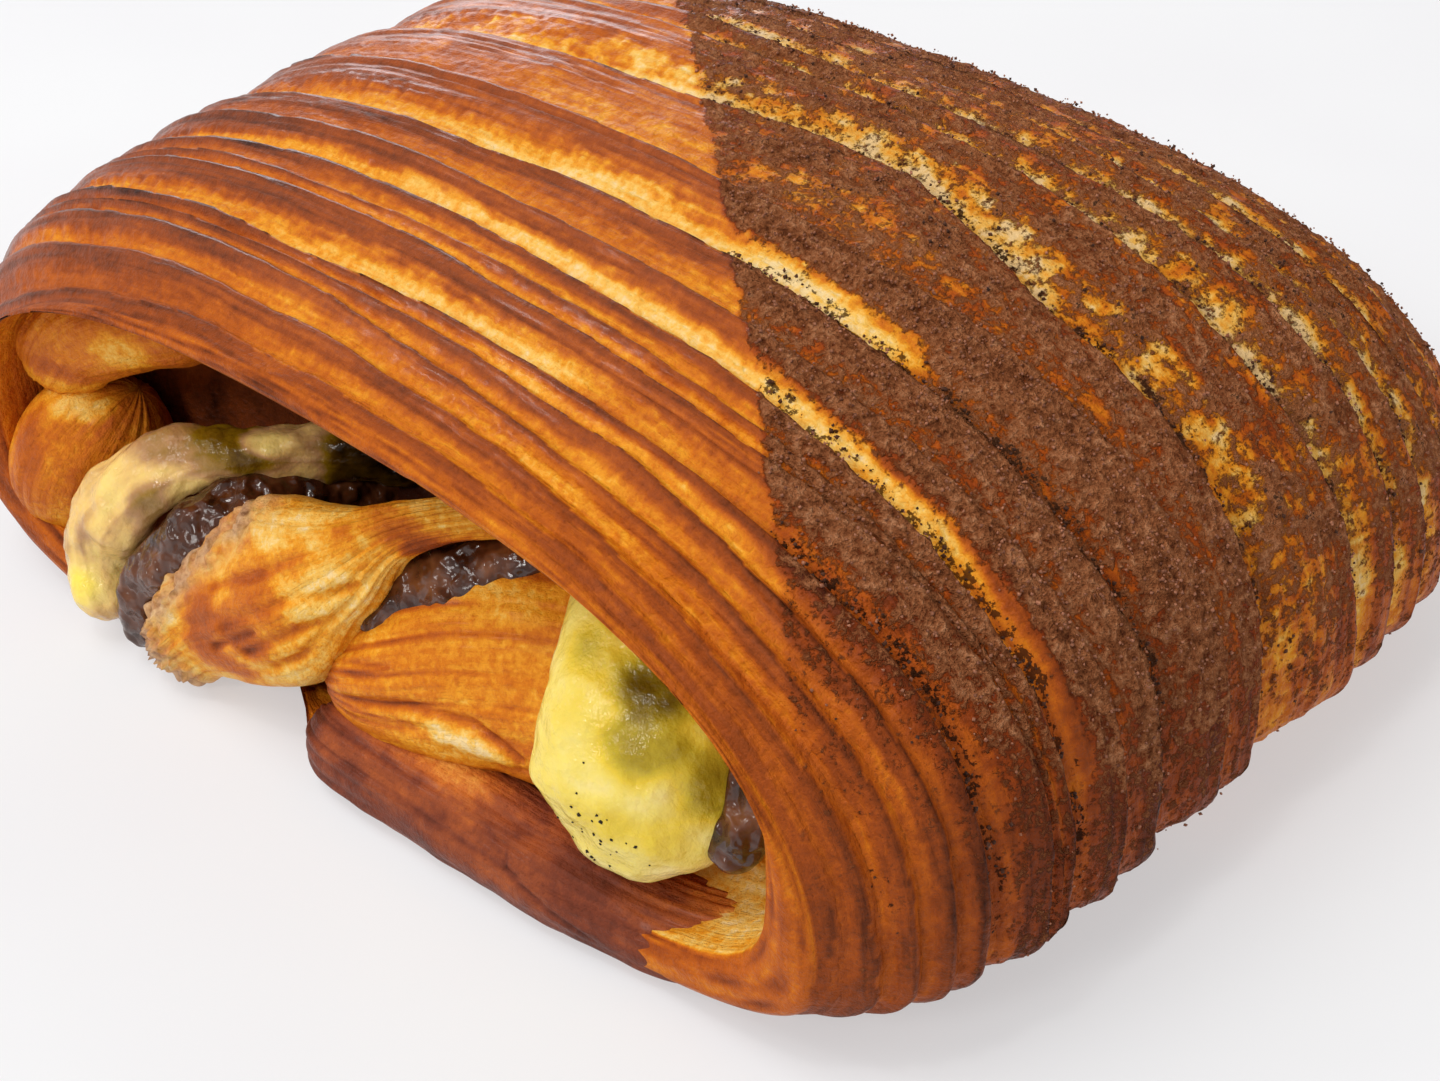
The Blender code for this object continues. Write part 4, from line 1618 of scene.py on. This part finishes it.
def grain_mesh(name: str, centres: Array, radii: Array, draw: np.random.Generator) -> Piece:
    """Make one mesh of many small uneven grains.

    Args:
        name: Name of the piece.
        centres: Middle of each grain, in millimetres.
        radii: Size of each grain, in millimetres.
        draw: Source of the random shapes.

    Returns:
        The new object.
    """
    count = len(centres)
    corners = np.concatenate([np.eye(3), -np.eye(3)])
    sides = np.array([
        (0, 1, 2), (1, 3, 2), (3, 4, 2), (4, 0, 2),
        (1, 0, 5), (3, 1, 5), (4, 3, 5), (0, 4, 5),
    ])
    shape = corners[None] * draw.uniform(0.6, 1.25, (count, len(corners), 1))
    basis = np.linalg.qr(draw.normal(size=(count, 3, 3)))[0]
    basis[np.linalg.det(basis) < 0, :, 0] *= -1.0
    grains = np.einsum("gij,gkj->gki", basis, shape) * radii[:, None, None] + centres[:, None, :]
    faces = (sides[None] + (np.arange(count) * len(corners))[:, None, None]).reshape(-1, 3)
    mesh = bpy.data.meshes.new(name)
    mesh.vertices.add(count * len(corners))
    mesh.vertices.foreach_set("co", (grains * MM).astype(np.float32).ravel())
    mesh.loops.add(faces.size)
    mesh.loops.foreach_set("vertex_index", faces.astype(np.int32).ravel())
    mesh.polygons.add(len(faces))
    mesh.polygons.foreach_set("loop_start", (np.arange(len(faces)) * 3).astype(np.int32))
    mesh.update(calc_edges=True)
    return place_mesh(name, mesh)


@dataclass
class CocoaDust:
    """Loose cocoa grains over the dusted half of the roll, in one joined mesh."""

    skin: Sheet
    name: str = "cocoa_grains"
    where: str = "cocoa"
    count: int = 8200
    sizes: tuple[float, float] = (0.08, 0.20)
    seed: int = 77
    lowest: float = 5.0
    spread: float = 0.2
    lift: float = 0.05

    def make(self, material: bpy.types.Material) -> Piece:
        """Scatter the grains.

        Args:
            material: Material of the grains.

        Returns:
            The piece.
        """
        draw = np.random.default_rng(self.seed)
        weight = np.clip(self.skin.values[self.where], 0.0, 1.0) ** 2.0
        weight[self.skin.points[..., 2] < self.lowest] = 0.0
        spacing = np.linalg.norm(np.gradient(self.skin.points, axis=0), axis=-1)
        share = (weight * spacing).ravel()
        chosen = draw.choice(len(share), self.count, p=share / share.sum())
        spread = draw.normal(size=(self.count, 3)) * self.spread
        centres = self.skin.points.reshape(-1, 3)[chosen] + spread
        centres += self.skin.normals().reshape(-1, 3)[chosen] * self.lift
        piece = grain_mesh(self.name, centres, draw.uniform(*self.sizes, self.count), draw)
        return dress(piece, material)


@dataclass
class VanillaSpecks:
    """Vanilla seeds that show on the face of the custard drip."""

    face: Sheet
    middle: Triple = (31.6, -51.7, 15.0)
    reach: Triple = (3.4, 1.6, 2.6)
    count: int = 26
    sizes: tuple[float, float] = (0.10, 0.24)
    seed: int = 5

    def make(self, material: bpy.types.Material) -> Piece:
        """Set the seeds into the surface.

        Args:
            material: Material of the seeds.

        Returns:
            The piece.
        """
        draw = np.random.default_rng(self.seed)
        points = self.face.points.reshape(-1, 3)
        away = np.linalg.norm((points - np.array(self.middle)) / np.array(self.reach), axis=1)
        share = np.exp(-away ** 2)
        chosen = draw.choice(len(points), self.count, p=share / share.sum(), replace=False)
        piece = grain_mesh("vanilla_specks", points[chosen], draw.uniform(*self.sizes, self.count), draw)
        return dress(piece, material)


FOLDS = (
    DoughFold("upper_fold", (
        (-45, -45, 19.0, 4.6, 3.4),
        (-40.6, -43.6, 25.0, 5.6, 4.2),
        (-34, -41.4, 29.0, 5.8, 4.4),
        (-25, -38, 31.4, 5.2, 4.2),
    ), TO_FRONT, 120, 96, seed=101, bake_and_shade=0.46, contrast=0.05, patches=(
        Patch((-31.5, -45.4, 27.4), (3.0, 3.0, 2.0), 0.1, 0.14, 0.8),
        Patch((-40.0, -47.0, 21.0), (5.0, 3.0, 1.6), 0.0, 0.16, 0.6),
        Patch((-39.0, -47.0, 23.0), (4.0, 3.0, 1.2), -0.2, 0.66, 0.6),
    )),
    DoughFold("lower_fold", (
        (-43, -45.6, 3.8, 5.0, 3.6),
        (-41.2, -45, 9, 7.2, 5.2),
        (-39, -43.4, 14.4, 7.4, 5.6),
        (-36.4, -41, 19.4, 5.6, 4.8),
    ), TO_RIGHT, 120, 110, seed=102, bake_and_shade=0.44, contrast=0.05, patches=(
        Patch((-37.5, -46.8, 19.4), (4.5, 3.0, 1.3), 0.2, 0.12, 0.9),
        Patch((-41.4, -50.0, 15.3), (2.0, 2.5, 5.0), 0.0, 0.66, 0.7),
        Patch((-36.6, -48.0, 13.0), (3.0, 2.6, 3.0), 0.0, 0.56, 0.6),
        Patch((-38.6, -48.6, 8.0), (1.4, 3.0, 6.0), 0.0, 0.26, 0.6),
    )),
    DoughFold("twist", (
        (-23.6, -50.6, 2.0, 3.0, 2.7),
        (-18, -48.5, 8.0, 5.6, 4.4),
        (-8.6, -47.0, 14.6, 8.0, 5.0),
        (-2.6, -46.0, 19.8, 5.0, 3.7),
        (2.4, -44.3, 24.4, 2.4, 2.1),
        (8.6, -40.5, 26.9, 2.2, 2.0),
        (20, -27.0, 27.0, 4.0, 4.0),
    ), TO_FRONT, 260, 130, seed=103, bake_and_shade=0.20, contrast=0.07, mottle=0.14, relief=0.16,
        crumb_edge=True, patches=(
        Patch((-14.6, -52.6, 11.0), (3.4, 3.0, 4.4), 0.0, 0.66, 0.9),
        Patch((-9.5, -52.6, 12.0), (4.0, 3.0, 2.6), 0.0, 0.60, 0.85),
        Patch((-8.6, -51.6, 16.2), (5.2, 3.0, 3.0), 0.15, 0.50, 0.95),
        Patch((-5.2, -48.9, 20.6), (3.6, 2.6, 1.8), 0.2, 0.46, 0.9),
        Patch((-9.0, -48.6, 21.0), (4.0, 2.4, 1.2), 0.1, 0.10, 0.9),
        Patch((3.4, -44.6, 25.2), (4.4, 3.0, 1.6), 0.0, 0.60, 0.9),
        Patch((5.6, -43.4, 24.2), (6.0, 3.0, 1.8), 0.0, 0.80, 0.9),
        Patch((-1.0, -46.6, 23.6), (2.2, 2.2, 1.2), 0.1, 0.46, 0.8),
        Patch((-0.8, -49.0, 20.2), (3.2, 2.6, 1.7), 0.25, 0.04, 0.9),
        Patch((-2.2, -50.3, 17.2), (3.2, 2.6, 1.6), 0.25, 0.07, 0.9),
        Patch((-12.0, -52.9, 8.2), (4.4, 2.4, 1.6), 0.0, 0.62, 0.7),
    ), creases=(
        Crease(((-11.6, -52.4, 12.0), (-5.0, -50.8, 17.2), (1.0, -48.4, 20.4)), 0.85, 0.60, 0.30),
        Crease(((-9.0, -52.6, 10.8), (-3.0, -51.0, 15.6), (1.8, -48.9, 18.6)), 0.80, 0.55, 0.30),
        Crease(((-14.0, -51.6, 14.6), (-8.0, -50.8, 18.4), (-2.4, -48.0, 22.2)), 0.75, 0.45, 0.22),
        Crease(((-13.0, -53.0, 9.4), (-8.0, -52.6, 13.4)), 0.7, 0.4, 0.22),
        Crease(((-6.0, -52.4, 10.6), (-1.0, -50.6, 14.2)), 0.7, 0.4, 0.24),
    )),
    DoughFold("tongue", (
        (-5.0, -46.6, 7.8, 4.6, 3.6),
        (2, -45.0, 10.8, 7.2, 5.2),
        (10, -42.5, 14.0, 8.6, 6.0),
        (20, -40.0, 16.0, 9.2, 6.0),
        (31, -38.0, 14.0, 8.0, 6.0),
        (40, -34.0, 10.0, 6.0, 5.0),
    ), TO_FRONT, 240, 160, seed=104, bake_and_shade=0.37, contrast=0.14, mottle=0.07, relief=0.14, patches=(
        Patch((-3.6, -50.2, 9.6), (2.6, 3.0, 3.6), 0.0, 0.64, 0.8),
        Patch((12.0, -43.0, 22.0), (6.0, 4.0, 1.2), 0.2, 0.22, 0.7),
        Patch((13.2, -48.9, 11.8), (5.4, 2.6, 1.3), 0.5, 0.03, 1.0),
        Patch((11.7, -49.2, 9.4), (6.2, 3.0, 1.6), 0.2, 0.22, 0.8),
    ), creases=(
        Crease(((-4.5, -50.4, 8.6), (0.0, -50.8, 9.6), (8.0, -49.8, 12.9), (14.0, -48.8, 13.8),
                (18.4, -47.6, 12.0)),
               0.8, 0.55, 0.28),
        Crease(((-5.4, -49.4, 11.0), (0.0, -49.6, 13.0), (5.0, -49.0, 14.8)), 0.4, 0.3, 0.2),
        Crease(((-5.4, -49.8, 10.2), (0.0, -50.1, 12.0), (4.0, -49.8, 13.4)), 0.4, 0.3, 0.2),
    )),
)
LOWER_LIP = DoughFold("lower_lip", (
    (-4.8, -47.2, 3.8, 4.2, 3.6),
    (0.4, -48.2, 3.6, 4.8, 4.2),
    (11, -48.1, 3.6, 4.8, 4.4),
    (23, -47.4, 3.4, 4.8, 4.2),
    (34, -46.0, 3.2, 4.6, 3.8),
    (43, -42.5, 3.4, 4.2, 3.4),
), UP, 260, 110, seed=105, bake_and_shade=0.66, contrast=0.06, mottle=0.20, relief=0.20, patches=(
    Patch((-3.0, -51.2, 3.4), (4.0, 3.0, 4.2), 0.0, 0.92, 0.8),
    Patch((8.0, -53.0, 2.2), (15.0, 2.6, 2.2), 0.0, 0.86, 0.8),
    Patch((30.0, -51.4, 1.6), (16.0, 3.0, 2.2), 0.0, 0.84, 0.8),
    Patch((11.5, -48.6, 8.0), (6.0, 3.0, 1.6), 0.2, 0.26, 0.8),
    Patch((27.0, -50.6, 6.0), (8.0, 3.0, 3.0), 0.35, 0.82, 0.8),
    Patch((41.0, -44.0, 7.0), (7.0, 4.0, 3.0), 0.0, 0.34, 0.9),
), creases=(
    Crease(((24.0, -50.6, 7.4), (20.4, -51.6, 6.6), (21.0, -52.2, 5.2), (25.4, -52.2, 4.0),
            (30.0, -51.8, 2.8)),
           0.5, 0.4, 0.25),
))

CUSTARDS = (
    Filling("left_custard", (
        (-30.0, -50.6, 2.3, 3.1, 2.3),
        (-32.2, -50.2, 7.5, 3.4, 2.2),
        (-30.8, -49.2, 13.0, 3.8, 2.2),
        (-26.4, -45.6, 17.8, 3.4, 2.2),
        (-20.5, -41.0, 19.8, 2.6, 2.2),
        (-13.0, -33.0, 19.6, 3.4, 2.6),
        (-4.0, -20.0, 19.0, 6.0, 3.0),
    ), TO_FRONT, 260, 110, 0.45, seed=201, tone=0.38, lump=0.62, lump_size=5.2, patches=(
        Patch((-31.8, -52.3, 6.5), (2.2, 2.2, 2.6), 0.35, 0.02, 0.9),
        Patch((-28.2, -51.6, 7.0), (1.3, 2.2, 5.0), -0.1, 0.58, 0.8),
        Patch((-26.0, -49.6, 13.0), (1.5, 2.2, 3.6), -0.1, 0.62, 0.8),
        Patch((-26.0, -48.2, 15.6), (2.0, 2.4, 2.6), 0.0, 0.70, 0.8),
        Patch((-30.0, -49.0, 16.0), (1.6, 2.4, 2.4), 0.1, 0.16, 0.7),
        # Painted shade: the top of the custard under the roof is darkened to olive
        Patch((-21.6, -42.6, 21.0), (6.6, 4.6, 3.6), 0.0, 0.84, 1.0),
        Patch((-18.2, -40.8, 21.6), (2.8, 2.4, 1.0), 0.3, 0.16, 0.9),
        Patch((-31.4, -50.4, 11.6), (1.6, 2.2, 1.6), -0.3, 0.66, 0.8),
        Patch((-29.6, -51.8, 3.6), (2.2, 2.2, 1.4), 0.1, 0.60, 0.7),
        Patch((-27.0, -46.4, 20.0), (3.4, 3.0, 1.6), 0.0, 0.70, 0.8),
        # Painted shade: the inner end is darkened nearly to black where it runs into the shaded hollow
        Patch((-12.0, -34.0, 19.6), (7.0, 6.0, 5.0), -0.4, 1.0, 1.0),
    ), streaks=0.17),
    Filling("custard_drip", (
        (29.6, -48.8, 9.2, 5.8, 3.1),
        (30.8, -47.6, 15.4, 8.2, 4.8),
        (29.0, -45.4, 21.4, 7.6, 4.6),
        (24.8, -41.6, 25.6, 5.2, 3.6),
        (18.0, -34.0, 26.0, 3.6, 3.0),
        (10.0, -22.0, 21.5, 4.0, 3.0),
    ), TO_FRONT, 240, 130, 0.45, seed=202, tone=0.20, lump=0.34, lump_size=5.0, patches=(
        Patch((31.4, -51.7, 16.4), (3.4, 2.6, 2.2), 0.1, 0.40, 0.9),
        Patch((29.0, -51.4, 10.5), (7.0, 2.6, 1.8), 0.2, 0.02, 0.8),
        # Painted shade: the drip's top under the roof and its right side are darkened to olive
        Patch((33.2, -48.4, 22.4), (4.6, 3.4, 2.6), -0.1, 0.80, 0.85),
        Patch((31.6, -46.4, 25.8), (4.0, 3.4, 2.4), -0.2, 0.94, 0.9),
        Patch((25.8, -45.6, 25.6), (2.6, 3.0, 2.4), 0.0, 0.74, 0.8),
        Patch((37.4, -46.6, 19.6), (2.8, 3.0, 3.4), -0.1, 0.82, 0.8),
        Patch((35.6, -49.2, 16.0), (2.4, 2.4, 3.0), 0.1, 0.52, 0.6),
        Patch((35.6, -48.6, 12.2), (3.0, 2.4, 1.6), 0.1, 0.02, 0.6),
    )),
    Filling("far_custard", (
        (0.0, 38.0, 11.5, 9.0, 3.4),
        (0.0, 51.4, 9.4, 9.0, 3.4),
    ), TO_FRONT, 60, 90, 0.45, seed=203),
)

CHOCOLATES = (
    Filling("chocolate_left", (
        (-25.6, -51.0, 2.3, 1.9, 1.7),
        (-25.2, -50.2, 8.0, 2.8, 2.0),
        (-21.8, -48.4, 13.0, 3.2, 2.2),
        (-18.6, -44.2, 16.0, 3.4, 2.2),
        (-15.6, -38.0, 15.4, 3.4, 2.2),
        (-13.0, -28.0, 13.6, 3.2, 2.2),
    ), TO_FRONT, 200, 70, 0.45, 301, "chocolate_left", Slot.CHOCOLATE, 0.46, 3.6),
    Filling("chocolate_middle", (
        (-0.6, -46.6, 14.4, 2.0, 1.6),
        (3.2, -43.8, 18.6, 3.2, 2.0),
        (8.4, -40.6, 21.4, 3.4, 2.2),
        (14.4, -36.0, 22.6, 3.2, 2.2),
        (17.0, -27.0, 20.0, 3.4, 2.4),
    ), TO_FRONT, 160, 70, 0.45, 302, "chocolate_middle", Slot.CHOCOLATE, 0.46, 3.6),
    Filling("chocolate_right", (
        (38.8, -46.2, 12.8, 1.8, 1.6),
        (39.4, -44.8, 16.4, 2.6, 2.2),
        (37.0, -39.0, 22.0, 3.4, 2.6),
        (30.0, -33.0, 22.0, 3.6, 2.8),
        (24.0, -25.0, 18.0, 3.6, 2.8),
    ), TO_FRONT, 160, 70, 0.45, 303, "chocolate_right", Slot.CHOCOLATE, 0.45, 3.4),
)


@dataclass(frozen=True)
class Lamp:
    """A square lamp that looks at the roll: place and side in metres, power in watts."""

    name: str
    place: Triple
    side: float
    power: float
    tint: Triple = (1.0, 0.99, 0.97)
    mirrored: bool = True


LAMPS = (
    Lamp("overhead", (-0.42, -0.50, 1.15), 1.1, 10.0, mirrored=False),
    Lamp("fill", (0.95, 1.25, 0.75), 0.9, 4.4, (1.0, 0.98, 0.95), mirrored=False),
    Lamp("window", (-1.35, 1.05, 0.34), 0.6, 4.4, (0.93, 0.95, 1.0)),
    Lamp("glint_above", (0.05, -0.45, 1.10), 0.10, 1.0),
    Lamp("glint_left", (-0.75, -0.75, 0.75), 0.12, 1.2),
    Lamp("glint_front", (0.10, -1.05, 0.80), 0.26, 3.6),
)
FLOOR_STOPS = shades((0.3, 170, 170, 173), (0.7, 174, 175, 177))


@dataclass
class Studio:
    """Pale floor, soft lights and the camera."""

    eye: Triple = (133.51, -152.17, 145.29)
    forward: Triple = (-0.5423, 0.6012, -0.5869)
    right: Triple = (0.7407, 0.6718, 0.0038)
    lens: float = 65.52
    floor_half: float = 3.0
    floor_gap: float = 0.00005
    floor_glow: float = 0.47
    room_glow: float = 0.42
    aim_height: float = 0.02

    def camera(self) -> None:
        """Place the camera."""
        forward = Vector(self.forward).normalized()
        right = Vector(self.right)
        right = (right - forward * right.dot(forward)).normalized()
        up = right.cross(forward)
        data = bpy.data.cameras.new("camera")
        data.lens = self.lens
        data.sensor_width = 36.0
        data.clip_start = 0.01
        made = bpy.data.objects.new("camera", data)
        rotation = Matrix((right, up, -forward)).transposed().to_4x4()
        made.matrix_world = Matrix.Translation(Vector(self.eye) * MM) @ rotation
        bpy.context.scene.collection.objects.link(made)
        bpy.context.scene.camera = made

    def floor(self) -> None:
        """Lay the pale floor."""
        mesh = bpy.data.meshes.new("studio_floor")
        half = self.floor_half
        corners = [(-half, -half, 0), (half, -half, 0), (half, half, 0), (-half, half, 0)]
        mesh.from_pydata(corners, [], [(0, 1, 2, 3)])
        made = place_mesh("studio_floor", mesh)
        made.location.z = -self.floor_gap
        material, graph, shader = new_material("studio_floor")
        tone = graph.noise(graph.place(), 0.02, 2.0, 0.5)
        graph.feed(shader.inputs["Base Color"], graph.ramp(tone, FLOOR_STOPS))
        shader.inputs["Emission Color"].default_value = (0.99, 0.99, 1.0, 1.0)
        shader.inputs["Emission Strength"].default_value = self.floor_glow
        shader.inputs["Roughness"].default_value = 0.8
        shader.inputs["Specular IOR Level"].default_value = 0.1
        mesh.materials.append(material)

    def light(self, lamp: Lamp) -> None:
        """Hang a lamp.

        Args:
            lamp: Its place, size and light.
        """
        data = bpy.data.lights.new(lamp.name, "AREA")
        data.size = lamp.side
        data.energy = lamp.power
        data.color = lamp.tint
        made = bpy.data.objects.new(lamp.name, data)
        made.location = lamp.place
        towards = Vector((0.0, 0.0, self.aim_height)) - Vector(lamp.place)
        made.rotation_euler = towards.to_track_quat("-Z", "Y").to_euler()
        made.visible_glossy = lamp.mirrored
        bpy.context.scene.collection.objects.link(made)

    def world(self) -> None:
        """Light the room evenly."""
        world = bpy.data.worlds.new("studio")
        world.use_nodes = True
        world.node_tree.nodes["Background"].inputs["Color"].default_value = (1.0, 0.99, 0.985, 1.0)
        world.node_tree.nodes["Background"].inputs["Strength"].default_value = self.room_glow
        bpy.context.scene.world = world
        bpy.context.scene.view_settings.view_transform = "Standard"

    def build(self) -> None:
        """Set up the whole studio."""
        self.camera()
        self.floor()
        self.world()
        for lamp in LAMPS:
            self.light(lamp)


def report(pieces: list[Piece]) -> None:
    """Ride every piece on the part and log its size.

    Args:
        pieces: Every piece of the danish.
    """
    for piece in pieces:
        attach(piece, BODY)
        faces = sum(len(polygon.vertices) - 2 for polygon in piece.data.polygons)
        LOG.info("%s: %d triangles", piece.name, faces)


def main() -> None:
    """Build the danish and its studio."""
    logging.basicConfig(level=logging.INFO, format="%(message)s")
    Studio().build()
    roll = Roll()
    pieces = roll.make(CrustFinish("laminated_crust").build())
    inner = DoughFinish("inner_dough", streak=0.20, rough=0.42).build()
    pieces += [fold.make(inner) for fold in FOLDS]
    lip = DoughFinish("lip_crust", LIP_STOPS, streak=0.10, blotch=0.52, rough=0.42).build()
    pieces.append(LOWER_LIP.make(lip))
    left_custard = CustardFinish("baked_custard", DRY_CUSTARD_STOPS).build()
    drip_custard = CustardFinish("soft_custard", SOFT_CUSTARD_STOPS, rough=0.17).build()
    for ribbon in CUSTARDS:
        pieces.append(ribbon.make(left_custard if ribbon.name == "left_custard" else drip_custard))
    chocolate = ChocolateFinish().build()
    pieces += [ribbon.make(chocolate) for ribbon in CHOCOLATES]
    powder = PowderFinish("cocoa_powder", (178, 118, 88), (98, 54, 34)).build()
    pieces.append(CocoaDust(roll.skin).make(powder))
    damp = PowderFinish("damp_cocoa", (92, 54, 34), (44, 23, 13)).build()
    pieces.append(CocoaDust(roll.skin, "cocoa_clots", "clot", 3000, (0.10, 0.24), 78).make(damp))
    seed_skin = PowderFinish("vanilla_seed", (48, 36, 14), (22, 16, 8)).build()
    pieces.append(VanillaSpecks(CUSTARDS[1].face).make(seed_skin))
    report(pieces)


if __name__ == "__main__":
    main()
